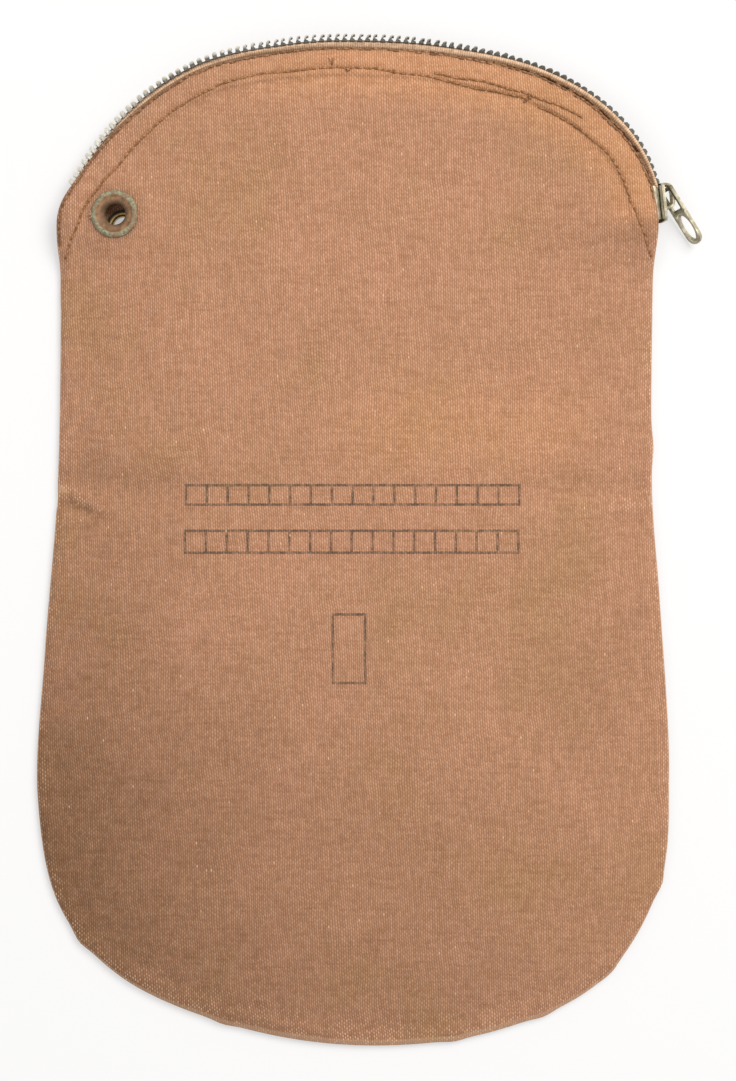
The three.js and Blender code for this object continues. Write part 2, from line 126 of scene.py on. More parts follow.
def through(rows, steps, closed):
    """A centripetal Catmull-Rom curve: cubics between the rows whose end tangents come from the three
    chords next to them, each chord weighted by the square root of its length."""
    rows = np.array(rows, float)
    if not closed:
        rows = np.vstack([2 * rows[0] - rows[1], rows, 2 * rows[-1] - rows[-2]])
    before, start, end, after = (np.roll(rows, shift, axis=0) for shift in (1, 0, -1, -2))
    if not closed:
        before, start, end, after = (part[1:-2] for part in (before, start, end, after))
    chord = [np.sqrt(np.linalg.norm(b - a, axis=1))[:, None] for a, b in
             ((before, start), (start, end), (end, after))]
    leave = ((start - before) / chord[0] - (end - before) / (chord[0] + chord[1])
             + (end - start) / chord[1]) * chord[1]
    arrive = ((end - start) / chord[1] - (after - start) / (chord[1] + chord[2])
              + (after - end) / chord[2]) * chord[1]
    t = np.linspace(0.0, 1.0, steps, endpoint=False)[None, :, None]
    start, end, leave, arrive = (part[:, None, :] for part in (start, end, leave, arrive))
    curve = ((2 * t**3 - 3 * t**2 + 1) * start + (t**3 - 2 * t**2 + t) * leave
             + (3 * t**2 - 2 * t**3) * end + (t**3 - t**2) * arrive)
    curve = curve.reshape(-1, rows.shape[1])
    return curve if closed else np.vstack([curve, rows[-2]])


edge_points = through(EDGE_ROWS, EDGE_STEPS, closed=True)
OFFSET = np.array(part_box("front_panel")[0])[:2] / MM - edge_points.min(axis=0)
edge_points = edge_points + OFFSET
edge_steps = np.linalg.norm(np.roll(edge_points, -1, axis=0) - edge_points, axis=1)
edge_along = np.concatenate([[0.0], np.cumsum(edge_steps)[:-1]])
edge_ahead = unit(np.roll(edge_points, -1, axis=0) - np.roll(edge_points, 1, axis=0))
edge_out = -turned_left(edge_ahead)
PERIMETER = edge_steps.sum()
MOUTH = edge_along[MOUTH_ROWS * EDGE_STEPS]
SEAM_HALF = (PERIMETER - MOUTH) / 2

# Clear height between the walls along the edge
GAPE = [
    (-20.0, SEAM_GAP), (2.0, 9.5), (20.0, 9.5), (90.0, 9.2),
    (MOUTH - 75.0, 9.0), (MOUTH - 14.0, 5.7), (MOUTH + 14.0, SEAM_GAP),
]


def placed(x, y):
    """A point of the outline's own coordinates, in the frame of the solids."""
    return np.array([x, y]) + OFFSET


def edge_at(along):
    """Point, direction ahead and direction outwards on the outline, at distances along it."""
    lap = np.mod(along, PERIMETER)

    def read(table):
        columns = [np.interp(lap, edge_along, column, period=PERIMETER) for column in table.T]
        return np.stack(columns, axis=-1)

    ahead = unit(read(edge_ahead))
    return read(edge_points), ahead, -turned_left(ahead)


def nearest_edge(xy):
    """Distance in from the outline, and place along it counted from the zip's right end, for any points:
    the nearest sample of the outline, corrected by the step from it across and along its direction."""
    flat = xy.reshape(-1, 2)
    reach = (edge_points**2).sum(axis=1)
    index = np.concatenate([
        np.argmin(reach - 2.0 * part @ edge_points.T, axis=1) for part in np.array_split(flat, 16)
    ])
    step = flat - edge_points[index]
    inset = -(step * edge_out[index]).sum(axis=1)
    along = edge_along[index] + (step * edge_ahead[index]).sum(axis=1)
    along = np.mod(along + SEAM_HALF, PERIMETER) - SEAM_HALF
    return inset.reshape(xy.shape[:-1]), along.reshape(xy.shape[:-1])


# Meshes

def grid_faces(rows, columns, wrap=False):
    """Quads of a grid of rows by columns, its last column joined to the first where it wraps."""
    index = np.arange(rows * columns).reshape(rows, columns)
    nearer = index if wrap else index[:, :-1]
    further = np.roll(index, -1, axis=1) if wrap else index[:, 1:]
    quads = np.stack([nearer[:-1], further[:-1], further[1:], nearer[1:]], axis=-1)
    return quads.reshape(-1, 4)


def capped_faces(loops, corners):
    """Faces of a stack of loops: quads from each loop to the next, and a face over the first and last."""
    first = np.arange(corners)[None]
    last = first + (loops - 1) * corners
    return [grid_faces(loops, corners, wrap=True), first[:, ::-1], last]


def signed_volume(points, faces):
    """Volume inside the faces, each cut into a fan of triangles from its first corner."""
    total = 0.0
    for group in faces:
        for corner in range(1, group.shape[1] - 1):
            a, b, c = (points[group[:, k]] for k in (0, corner, corner + 1))
            total += (a * np.cross(b, c)).sum() / 6.0
    return total


def facing_out(points, faces):
    """A closed form with its faces turned to point outwards."""
    if signed_volume(points, faces) < 0.0:
        faces = [group[:, ::-1] for group in faces]
    return points, faces


def joined(forms):
    """Several forms as one: their points in a row, their faces counted on."""
    starts = np.cumsum([0] + [len(points) for points, _ in forms])
    faces = [group + start for (_, groups), start in zip(forms, starts) for group in groups]
    return np.vstack([points for points, _ in forms]), faces


def tube(centres, side, up, section):
    """A section carried along a path: each point is the centre plus the section's two numbers along the
    side and up directions there, with a face over each end."""
    points = centres[:, None] + section[..., :1] * side[:, None] + section[..., 1:] * up[:, None]
    return facing_out(points.reshape(-1, 3), capped_faces(*points.shape[:2]))


def closed_band(points):
    """A grid of points joined to itself both ways, as one closed form."""
    rows, columns = points.shape[:2]
    index = np.arange(rows * columns).reshape(rows, columns)
    ahead = np.roll(index, -1, axis=0)
    beside = np.roll(index, -1, axis=1)
    quads = np.stack([index, ahead, np.roll(ahead, -1, axis=1), beside], axis=-1)
    return facing_out(points.reshape(-1, 3), [quads.reshape(-1, 4)])


def repeated(points, faces, origin, first, second, third):
    """One small form, or a form for each origin, laid there with its x, y and z along three directions."""
    copies = (origin[:, None] + points[..., :1] * first[:, None]
              + points[..., 1:2] * second[:, None] + points[..., 2:] * third[:, None])
    starts = np.arange(len(origin)) * points.shape[-2]
    spread = [(group[None] + starts[:, None, None]).reshape(-1, group.shape[1]) for group in faces]
    return facing_out(copies.reshape(-1, 3), spread)


def ring(sides):
    """Points on a unit circle, as columns x and y."""
    angle = np.linspace(0.0, 2.0 * np.pi, sides, endpoint=False)
    return np.stack([np.cos(angle), np.sin(angle)], axis=1)


def thread_path(centres, radius, sides=6):
    """A round thread along a path, thinner towards its last point."""
    ahead = unit(np.gradient(centres, axis=0))
    side = unit(np.cross(ahead, UP + 0.01))
    up = np.cross(side, ahead)
    taper = radius * (1.0 - 0.6 * np.linspace(0.0, 1.0, len(centres)) ** 2)
    return tube(centres, side, up, taper[:, None, None] * ring(sides)[None])


def add_piece(name, form, finish, node=None, body="bag", stored=None, smooth=True):
    """Put a form into a mesh object in metres, with its finish and body, and hide the node it stands for."""
    points, faces = form
    used = np.zeros(len(points), bool)
    used[np.concatenate([group.ravel() for group in faces])] = True
    number = np.cumsum(used) - 1
    mesh = bpy.data.meshes.new(name)
    mesh.from_pydata(points[used] * MM, [], [face for group in faces for face in number[group].tolist()])
    mesh.polygons.foreach_set("use_smooth", np.full(len(mesh.polygons), smooth))
    for key, values in (stored or {}).items():
        layer = mesh.attributes.new(key, "FLOAT", "POINT")
        layer.data.foreach_set("value", values.ravel()[used].astype(np.float32))
    mesh.materials.append(finish)
    mesh.update()
    piece = bpy.data.objects.new(name, mesh)
    bpy.context.scene.collection.objects.link(piece)
    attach(piece, body)
    if node:
        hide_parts(node)
    return piece


# Finishes

def tone(red, green, blue):
    """A colour of 0 to 255 display values as the linear values that a shader takes."""
    shown = np.array([red, green, blue]) / 255.0
    linear = np.where(shown <= 0.04045, shown / 12.92, ((shown + 0.055) / 1.055) ** 2.4)
    return (*linear.tolist(), 1.0)


class Finish:
    """A material being put together: each method adds a node and gives back its output."""

    def __init__(self, name, roughness, metallic=0.0):
        self.material = bpy.data.materials.new(name)
        self.material.use_nodes = True
        self.tree = self.material.node_tree
        self.shader = self.tree.nodes["Principled BSDF"]
        self.put("Roughness", roughness)
        self.put("Metallic", metallic)

    def join(self, value, socket):
        if isinstance(value, bpy.types.NodeSocket):
            self.tree.links.new(value, socket)
        else:
            socket.default_value = value

    def put(self, socket, value):
        """A constant, or another node's output, on one of the shader's own sockets."""
        self.join(value, self.shader.inputs[socket])

    def node(self, kind, inputs=(), **settings):
        made = self.tree.nodes.new(kind)
        for key, value in settings.items():
            setattr(made, key, value)
        for key, value in dict(inputs).items():
            self.join(value, made.inputs[key])
        return made

    def math(self, operation, *values):
        return self.node("ShaderNodeMath", enumerate(values), operation=operation).outputs[0]

    def place(self):
        """Object coordinates in millimetres."""
        raw = self.node("ShaderNodeTexCoord").outputs["Object"]
        return self.node("ShaderNodeVectorMath", {0: raw, "Scale": 1.0 / MM}, operation="SCALE").outputs[0]

    def split(self, vector):
        return list(self.node("ShaderNodeSeparateXYZ", {0: vector}).outputs)

    def merge(self, x, y, z=0.0):
        return self.node("ShaderNodeCombineXYZ", {0: x, 1: y, 2: z}).outputs[0]

    def noise(self, vector, scale, detail=2.0, rough=0.5):
        inputs = {"Vector": vector, "Scale": scale, "Detail": detail, "Roughness": rough}
        return self.node("ShaderNodeTexNoise", inputs).outputs[0]

    def chance(self, vector):
        """An even random number for each whole-numbered cell."""
        made = self.node("ShaderNodeTexWhiteNoise", {"Vector": vector}, noise_dimensions="2D")
        return made.outputs["Value"]

    def ramp(self, value, low, high, to_low=0.0, to_high=1.0):
        inputs = {0: value, 1: low, 2: high, 3: to_low, 4: to_high}
        return self.node("ShaderNodeMapRange", inputs, interpolation_type="SMOOTHSTEP").outputs[0]

    def mix(self, share, first, second, blend="MIX"):
        inputs = {0: share, 6: first, 7: second}
        return self.node("ShaderNodeMix", inputs, data_type="RGBA", blend_type=blend).outputs[2]

    def stored(self, name):
        return self.node("ShaderNodeAttribute", attribute_name=name).outputs["Fac"]

    def bump(self, height, depth):
        inputs = {"Height": height, "Distance": depth * MM, "Strength": 1.0}
        self.put("Normal", self.node("ShaderNodeBump", inputs).outputs[0])


# Plain weave of the canvas
WARP_PITCH = 0.73
WEFT_PITCH = 0.62
WARP_LEAN = 0.045
# How deep the shade between the threads is in red, green and blue
SHADE_DEPTHS = (0.68, 0.84, 1.0)

# Colours of the canvas: its threads, patches, paler cloth, stains and painted shade, print, and worn crests
# with painted highlights
THREAD_DARK = tone(174, 129, 100)
THREAD_PALE = tone(186, 139, 110)
WEFT_DARK = tone(138, 100, 76)
PATCH_OLIVE = tone(171, 130, 94)
PATCH_PINK = tone(192, 141, 114)
PALER_CLOTH = tone(212, 155, 111)
MOTTLE_BROWN = tone(150, 108, 78)
SOIL_AND_SHADE_BROWN = tone(98, 70, 44)
OLD_PRINT = tone(84, 70, 58)
BARE_AND_LIT_FIBRE = tone(232, 194, 160)

# Rows of plain ruled cells in old print: middle across, middle height, pitch, half height, cells in the row
PRINT_ROWS = (
    (-4.9, 14.6, 6.67, 3.1, 16),
    (-5.2, -0.4, 6.67, 3.5, 16),
    (-6.1, -34.7, 10.4, 11.0, 1),
)
PRINT_LINE = 0.42
PRINT_SOFT = 0.12


def print_mask(finish, x, y):
    """1 on the lines of rows of empty cells: the points within half a line of the nearest upright between
    two cells, or of the rule above or below the row, as far as the row's ends."""
    mask = 0.0
    for centre, middle, pitch, half_tall, count in PRINT_ROWS:
        half_wide = pitch * count / 2.0
        aside = finish.math("ABSOLUTE", finish.math("SUBTRACT", x, centre + OFFSET[0]))
        above = finish.math("ABSOLUTE", finish.math("SUBTRACT", y, middle + OFFSET[1]))
        cell = finish.math("DIVIDE", finish.math("SUBTRACT", half_wide, aside), pitch)
        share = finish.math("FRACT", cell)
        upright = finish.math("MULTIPLY", finish.math("PINGPONG", share, 0.5), pitch)
        rule = finish.math("ABSOLUTE", finish.math("SUBTRACT", above, half_tall))
        line = finish.math("MINIMUM", upright, rule)
        out = finish.math("SUBTRACT", aside, half_wide)
        over = finish.math("SUBTRACT", above, half_tall)
        away = finish.math("MAXIMUM", line, finish.math("MAXIMUM", out, over))
        inked = finish.ramp(away, PRINT_LINE - PRINT_SOFT, PRINT_LINE + PRINT_SOFT, 1.0, 0.0)
        mask = finish.math("MAXIMUM", mask, inked)
    return mask


def canvas_finish(name, printed):
    """Ribbed plain weave: each warp thread is a half sine wave across, whose crowns rise and fall along it
    by a cosine that is half a turn off in the next thread. Every thread, weft row and crown has its own
    shade. Patches, paler cloth, soil with painted shade, old print, wear with a paler seam rim of painted
    light, and painted highlights on the crowns lie over them, and a few crowns are pale specks."""
    finish = Finish(name, roughness=0.93)
    place = finish.place()
    x, y, _ = finish.split(place)
    drift = finish.noise(place, 0.045)
    waver = finish.noise(place, 0.35, 3.0)
    leant = finish.math("MULTIPLY_ADD", y, WARP_LEAN, x)
    warp_at = finish.math("MULTIPLY_ADD", waver, 0.5, finish.math("MULTIPLY_ADD", drift, 3.0, leant))
    weft_at = finish.math("MULTIPLY_ADD", waver, 0.4, finish.math("MULTIPLY_ADD", drift, 2.0, y))
    warp = finish.math("DIVIDE", warp_at, WARP_PITCH)
    weft = finish.math("DIVIDE", weft_at, WEFT_PITCH)
    thread = finish.math("FLOOR", warp)
    weft_row = finish.math("FLOOR", weft)
    rib = finish.math("SINE", finish.math("MULTIPLY", finish.math("FRACT", warp), np.pi))
    turn = finish.math("ADD", weft, thread)
    wave = finish.math("COSINE", finish.math("MULTIPLY", turn, np.pi))
    crown = finish.math("MULTIPLY_ADD", wave, 0.5, 0.5)
    height = finish.math("MULTIPLY", rib, finish.math("MULTIPLY_ADD", crown, 0.5, 0.5))
    slub_at = finish.merge(finish.math("MULTIPLY", thread, 3.7), finish.math("MULTIPLY", y, 0.08))
    slub = finish.noise(slub_at, 1.0, 4.0, 0.6)
    pick_at = finish.merge(finish.math("MULTIPLY", x, 0.12), finish.math("MULTIPLY", weft_row, 3.7))
    pick = finish.noise(pick_at, 1.0, 4.0, 0.6)
    patches = finish.noise(place, 0.024, 4.0, 0.62)
    mottle = finish.noise(place, 0.2, 5.0, 0.68)
    colour = finish.mix(finish.ramp(slub, 0.3, 0.7), THREAD_DARK, THREAD_PALE)
    colour = finish.mix(finish.ramp(pick, 0.58, 0.78, 0.0, 0.4), colour, WEFT_DARK)
    colour = finish.mix(finish.ramp(patches, 0.5, 0.72, 0.0, 0.7), colour, PATCH_OLIVE)
    colour = finish.mix(finish.ramp(patches, 0.5, 0.28, 0.0, 0.5), colour, PATCH_PINK)
    colour = finish.mix(finish.math("MULTIPLY", finish.stored("paler"), 0.48), colour, PALER_CLOTH)
    colour = finish.mix(finish.ramp(mottle, 0.52, 0.75, 0.0, 0.28), colour, MOTTLE_BROWN)
    # Soil and painted shade: the folds, the stitches, the lower left, the flanks and the mouth's edge darker
    soiled_and_shaded = finish.math("MULTIPLY", finish.stored("soil_and_shade"), finish.ramp(mottle, 0.25, 0.7, 0.75, 1.0))
    colour = finish.mix(soiled_and_shaded, colour, SOIL_AND_SHADE_BROWN)
    if printed:
        worn_print = finish.ramp(finish.noise(place, 0.45, 5.0, 0.75), 0.36, 0.6, 0.35, 0.85)
        inked = finish.math("MULTIPLY", print_mask(finish, x, y), worn_print)
        colour = finish.mix(inked, colour, OLD_PRINT)
    crown_row = finish.math("FLOOR", finish.math("MULTIPLY_ADD", turn, 0.5, 0.5))
    luck = finish.chance(finish.merge(thread, crown_row))
    depth_shade = finish.ramp(height, 0.02, 0.95, 0.62, 1.08)
    crown_shade = finish.ramp(luck, 0.0, 1.0, 0.9, 1.1)
    weft_shade = finish.ramp(pick, 0.25, 0.7, 0.85, 1.14)
    shade = finish.math("MULTIPLY", finish.math("MULTIPLY", depth_shade, crown_shade), weft_shade)
    shades = [finish.math("MULTIPLY_ADD", shade, depth, 1.0 - depth) for depth in SHADE_DEPTHS]
    colour = finish.mix(1.0, colour, finish.merge(*shades), "MULTIPLY")
    # Wear, and a paler seam rim that is painted light
    wear_and_rim_light = finish.stored("wear_and_rim_light")
    # Pale crowns: bare fibre where worn, and painted highlights on crowns in clumps all over
    clump = finish.noise(place, 0.11, 4.0, 0.65)
    rubbed = finish.math("MULTIPLY", wear_and_rim_light, finish.ramp(clump, 0.35, 0.65, 0.35, 0.9))
    rubbed_and_highlit = finish.math("ADD", rubbed, finish.ramp(clump, 0.45, 0.75, 0.06, 0.15))
    crest = finish.math("MULTIPLY", finish.ramp(height, 0.6, 0.98), finish.ramp(luck, 0.15, 0.85))
    bald = finish.ramp(wear_and_rim_light, 0.86, 1.0, 0.0, 0.24)
    worn = finish.math("MAXIMUM", finish.math("MULTIPLY", crest, rubbed_and_highlit), bald)
    rare = finish.ramp(luck, 0.9965, 1.0)
    speck = finish.math("MULTIPLY", rare, finish.ramp(height, 0.4, 0.8, 0.0, 0.55))
    finish.put("Base Color", finish.mix(finish.math("MAXIMUM", worn, speck), colour, BARE_AND_LIT_FIBRE))
    finish.bump(finish.math("MULTIPLY_ADD", waver, 0.6, height), 0.16)
    finish.put("Sheen Weight", 0.08)
    finish.put("Specular IOR Level", 0.2)
    return finish.material


def tape_finish():
    """Corded tape with fine ribs across it, painted shade beside its bead and a painted highlight on its
    crest.
    """
    finish = Finish("zip_tape_cotton", roughness=0.9)
    place = finish.place()
    rib = finish.math("SINE", finish.math("MULTIPLY", finish.stored("along"), 2.0 * np.pi / WARP_PITCH))
    rib = finish.ramp(rib, -0.8, 0.8)
    mottle = finish.noise(place, 0.8, 5.0, 0.7)
    crest = finish.math("MULTIPLY", finish.stored("crest"), finish.ramp(mottle, 0.35, 0.62, 0.5, 1.0))
    # Painted shade beside the bead, and a painted highlight on its crest
    colour = finish.mix(rib, tone(98, 72, 50), tone(130, 98, 72))
    colour = finish.mix(crest, colour, finish.mix(rib, tone(214, 174, 140), tone(236, 204, 172)))
    finish.put("Base Color", colour)
    finish.bump(finish.math("MULTIPLY_ADD", mottle, 1.6, rib), 0.03)
    finish.put("Specular IOR Level", 0.2)
    return finish.material


def metal_finish(name, bright, dull, dark, shine, grain):
    """Worn plate: bright metal that dulls in noise patches, darker where the stored grime and painted shade
    are.
    """
    finish = Finish(name, roughness=shine, metallic=0.4)
    place = finish.place()
    patch = finish.noise(place, grain, 4.0, 0.62)
    scuff = finish.noise(place, grain * 6.0, 3.0, 0.6)
    colour = finish.mix(finish.ramp(patch, 0.35, 0.65), bright, dull)
    grime_and_shade = finish.math("MULTIPLY", finish.stored("grime_and_shade"), finish.ramp(scuff, 0.2, 0.7, 0.75, 1.0))
    finish.put("Base Color", finish.mix(grime_and_shade, colour, dark))
    rougher = finish.math("ADD", patch, grime_and_shade)
    finish.put("Roughness", finish.ramp(rougher, 0.3, 1.2, shine - 0.08, shine + 0.3))
    finish.bump(scuff, 0.04)
    return finish.material


def grommet_finish():
    """Brass under dirt: a grey-green crust on the rim, brown tarnish in the dish, darker tarnish towards the
    hole and painted shade down the barrel, and bare brass in the barrel."""
    finish = Finish("grommet_patina", roughness=0.5)
    place = finish.place()
    crust = finish.stored("crust")
    bare = finish.stored("bare")
    tarnish_and_shade = finish.stored("tarnish_and_shade")
    fine = finish.noise(place, 1.3, 4.0, 0.7)
    patch = finish.noise(place, 0.38, 4.0, 0.65)
    brown = finish.mix(finish.ramp(patch, 0.35, 0.65), tone(156, 116, 82), tone(112, 82, 54))
    # Tarnish in the dish near the hole, and painted shade inside the barrel
    brown = finish.mix(tarnish_and_shade, brown, tone(52, 40, 26))
    green = finish.mix(finish.ramp(fine, 0.3, 0.7), tone(92, 92, 70), tone(166, 162, 132))
    green = finish.mix(finish.ramp(patch, 0.42, 0.66, 0.0, 0.8), green, tone(140, 106, 80))
    cover = finish.ramp(finish.math("MULTIPLY_ADD", fine, 0.6, crust), 0.7, 1.05)
    colour = finish.mix(cover, brown, green)
    finish.put("Base Color", finish.mix(bare, colour, tone(228, 190, 112)))
    finish.put("Roughness", finish.ramp(bare, 0.0, 1.0, 0.72, 0.3))
    finish.put("Metallic", finish.ramp(bare, 0.0, 1.0, 0.1, 0.7))
    dents = finish.math("MULTIPLY_ADD", patch, 0.8, fine)
    finish.bump(finish.math("MULTIPLY", dents, finish.math("SUBTRACT", 1.0, bare)), 0.2)
    return finish.material


def thread_finish(name, dark, pale):
    """Sewing thread: two shades in fine noise, with a soft fuzz."""
    finish = Finish(name, roughness=0.88)
    fine = finish.noise(finish.place(), 0.9, 4.0, 0.7)
    finish.put("Base Color", finish.mix(finish.ramp(fine, 0.4, 0.66), dark, pale))
    finish.bump(fine, 0.08)
    finish.put("Specular IOR Level", 0.2)
    return finish.material


canvas_front = canvas_finish("worn_canvas_front", printed=True)
canvas_back = canvas_finish("worn_canvas_back", printed=False)
zip_cotton = tape_finish()
teeth_metal = metal_finish(
    "dulled_teeth", bright=tone(240, 235, 222), dull=tone(206, 200, 184), dark=tone(62, 58, 48),
    shine=0.42, grain=0.9,
)
slider_metal = metal_finish(
    "worn_nickel", bright=tone(214, 206, 180), dull=tone(172, 163, 136), dark=tone(84, 74, 56),
    shine=0.48, grain=0.5,
)
grommet_patina = grommet_finish()
brown_thread = thread_finish("brown_thread", tone(124, 85, 54), tone(184, 133, 92))
# Darker thread for the rows at the mouth's edge, partly painted shade of the gap by the tape
dark_edge_thread = thread_finish("dark_edge_thread", tone(106, 76, 52), tone(166, 122, 88))
pale_thread = thread_finish("pale_thread", tone(188, 148, 116), tone(216, 182, 150))


# Grommets: the place of the front one's base comes from the flat of its flange
GROMMET = placed(-81.0, 104.5)
GROMMET_BACK = placed(-78.87, 101.12)
GROMMET_BACK_RISE = 1.65
FLANGE_RISE = 1.35
SEAT_FLAT = 8.4
SEAT_FADE = 15.0
SEAT_RISE = 0.2
DISH_FLAT = 8.2
DISH_FADE = 11.2
CANVAS_HOLE = 4.3

flange = next(mount for mount in frame["record"]["mounts"] if mount["name"] == "grommet_flange")
flange_point = np.array(flange["pos_m"]) / MM
flange_axis = unit(np.array(flange["axis"]))
drop = FLANGE_RISE + (GROMMET - flange_point[:2]) @ flange_axis[:2]
GROMMET_BASE = np.array([*GROMMET, flange_point[2] - drop / flange_axis[2]])


# Walls

# Stitch rows as place along the edge and distance in from it
EDGE_ROW = [
    (6.0, 0.5), (12.0, 0.45), (60.0, 0.25), (130.0, 0.2), (175.0, 0.7), (200.0, 0.9), (MOUTH + 2.0, 1.0),
]
WRAP_ROW = [(8.0, -0.3), (14.0, -0.5), (60.0, -0.8), (98.0, -0.3)]
SECOND_ROW = [
    (63.0, 8.0), (81.0, 8.9), (90.0, 8.2), (101.0, 7.3), (106.0, 7.6), (115.0, 6.4), (130.0, 6.2),
    (142.0, 6.6), (153.0, 6.2), (163.0, 6.7), (175.0, 7.5), (188.0, 7.5), (201.0, 8.1), (214.0, 8.5),
    (222.0, 7.9), (239.0, 7.5), (253.0, 1.9),
]
RESTART_ROW = [
    (-12.0, 1.4), (-10.0, 2.6), (-2.0, 5.9), (7.0, 7.9), (18.0, 7.9), (27.0, 7.6), (38.0, 8.4),
    (48.0, 8.7), (60.0, 8.9),
]
REPAIR_ROW = [
    (42.5, 5.2), (52.0, 5.9), (59.0, 6.8), (64.0, 6.5), (70.0, 6.9), (80.0, 6.4), (88.0, 6.6), (96.0, 6.2),
]
GROOVE = 0.3
GROOVE_WIDTH = 0.6
HEM_PUFF = 0.16
SEAM_RIDGE = 0.5
SEAM_PUCKER = 0.12
BACK_GROOVE = 0.2
BACK_STEP = 0.12
BACK_SLACK = 0.1

# Slow ripples of the slack cloth: height, change across and up in radians a millimetre, start
RIPPLES = [(0.3, 0.062, 0.021, 0.6), (0.25, -0.03, 0.045, 0.0), (0.14, 0.11, 0.13, 0.0)]

# Corners that stand out of the seams and the hem's left end, or lie in: place along the edge, height, width
SEAM_CORNERS = [
    (237.0, 1.4, 9.5), (255.0, -0.4, 6.0), (329.0, -0.3, 3.0), (475.0, 0.9, 4.0), (529.0, 0.6, 4.0),
    (604.5, 0.6, 4.0), (634.5, 0.7, 4.0), (660.5, 0.6, 4.0), (693.5, 0.8, 4.0),
    (PERIMETER - 73.0, 0.7, 6.0),
]

# Creases as segments with height and width; a negative height is a valley
CREASES = [
    (-99.8, 16.8, -84.0, 9.2, 1.2, 1.5),
    (-99.8, 12.9, -90.0, 9.8, -1.2, 1.6),
    (-84.4, 9.2, -90.5, 3.8, -0.7, 1.5),
    (-97.0, 24.0, -60.0, 19.5, -0.5, 6.0),
    (74.0, 9.6, 92.5, 13.9, 0.6, 2.0),
    (80.0, 6.6, 92.5, 8.4, -0.5, 3.0),
    (60.0, 20.0, 90.0, 22.0, -0.2, 6.0),
]

# Distances in from the edge of a wall's outer rings, closest at the rounded edge and the hem's step
RIM_INSETS = [
    0.0, 0.06, 0.16, 0.3, 0.5, 0.75, 1.0, 1.3, 1.7, 2.2, 2.8, 3.4, 4.0, 4.6, 5.2, 5.8, 6.4, 7.0,
    7.6, 8.1, 8.5, 8.9, 9.3, 9.9, 10.8, 12.0, 13.4, 15.0,
]
DEEP_RINGS = 52
CENTRE_SHARE = 0.985
RING_EASE = 0.85
MOUTH_MARGIN = 24.0
SEAM_SPOKES = 330


def corner_bulge(along):
    """How far the seam stands out: the sum of a bell curve at each small corner."""
    return sum(height * hump(np.mod(along, PERIMETER), at, width) for at, height, width in SEAM_CORNERS)


def mouth_share(along):
    """1 along the mouth and 0 along the seams, easing over HEM_FADE at both ends."""
    right = smoothstep(along, -HEM_FADE, HEM_FADE)
    left = smoothstep(MOUTH - along, -HEM_FADE, HEM_FADE)
    return right * left


def creases(xy):
    """Ridge heights and valley depths: sums of bell curves of the distance from each segment."""
    ridges = np.zeros(xy.shape[:-1])
    valleys = np.zeros(xy.shape[:-1])
    for x0, y0, x1, y1, height, width in CREASES:
        start, end = placed(x0, y0), placed(x1, y1)
        run = end - start
        share = ((xy - start) @ run) / (run @ run)
        nearest = start + np.clip(share, 0.0, 1.0)[..., None] * run
        distance = np.linalg.norm(xy - nearest, axis=-1)
        rise = height * hump(distance, 0.0, width)
        ridges += np.maximum(rise, 0.0)
        valleys += np.maximum(-rise, 0.0)
    return ridges, valleys


def row_groove(inset, along, rows):
    """Depth of the groove that a stitch row pulls: a bell curve across the row, along its length only."""
    table = np.array(rows)
    first, last = table[0, 0], table[-1, 0]
    middle = np.interp(along, table[:, 0], table[:, 1])
    present = smoothstep(along, first - 2.0, first + 1.0) * falling(along, last - 1.0, last + 2.0)
    return present * hump(inset, middle, GROOVE_WIDTH)


def sewn_grooves(inset, along, *stitch_rows):
    """Depth of the grooves of several stitch rows together."""
    return sum(row_groove(inset, along, rows) for rows in stitch_rows)


def relief(xy, inset, along):
    """Small forms of a wall's outer face: stitch grooves, the puffed hem between them, the ridge of the
    turned seam, puckers along it, creases and slow ripples of the slack cloth."""
    x, y = xy[..., 0], xy[..., 1]
    mouth = mouth_share(along)
    puff = HEM_PUFF * mouth * hump(inset, 4.0, 2.2)
    ridge = SEAM_RIDGE * (1.0 - mouth) * smoothstep(inset, 0.2, 1.8) * falling(inset, 4.0, 7.5)
    waves = np.sin(along * 0.52 + 4.0 * np.sin(along * 0.11))
    pucker = SEAM_PUCKER * (1.0 - mouth) * waves * hump(inset, 3.0, 4.0)
    ripple = sum(height * np.sin(across * x + up * y + start) for height, across, up, start in RIPPLES)
    ridges, valleys = creases(xy)
    slack = smoothstep(inset, 0.0, 6.0) * (ripple + ridges - valleys)
    sewn = sewn_grooves(inset, along, SECOND_ROW, RESTART_ROW) + 0.8 * row_groove(inset, along, EDGE_ROW)
    return puff + ridge + pucker + slack - GROOVE * sewn


def inside_height(xy, inset, along):
    """Clear height between the walls: from the gap at the edge to the swell of the middle by the curve
    1 - (1 - t)^2 of the distance in, less a fold across the bag."""
    x, y = (xy - OFFSET)[..., 0], (xy - OFFSET)[..., 1]
    gap = eased(GAPE, along)[..., 0]
    swell = FOOT_SWELL + (MOUTH_SWELL - FOOT_SWELL) * smoothstep(y, FOOT_SWELL_Y, MOUTH_SWELL_Y)
    rise = 1.0 - (1.0 - np.clip(inset / CROWN_INSET, 0.0, 1.0)) ** 2
    fold = FOLD_DEPTH * hump(y, FOLD_Y, FOLD_WIDTH) * smoothstep(np.abs(x), FOLD_FROM, FOLD_TO)
    return gap + (swell - gap) * rise - np.minimum(fold, rise * swell)


def hem_share(inset, along):
    """1 in the folded hem and 0 in the single cloth, easing over HEM_SOFT at the hem's inner edge."""
    return mouth_share(along) * falling(inset, HEM_WIDTH - HEM_SOFT, HEM_WIDTH + HEM_SOFT)


def rounded_half(thick, inset):
    """Half the thickness of cloth whose edge is a half circle, at a distance in from that edge."""
    share = np.clip(inset / (thick / 2), 0.0, 1.0)
    return thick / 2 * np.sqrt(1.0 - (1.0 - share) ** 2)


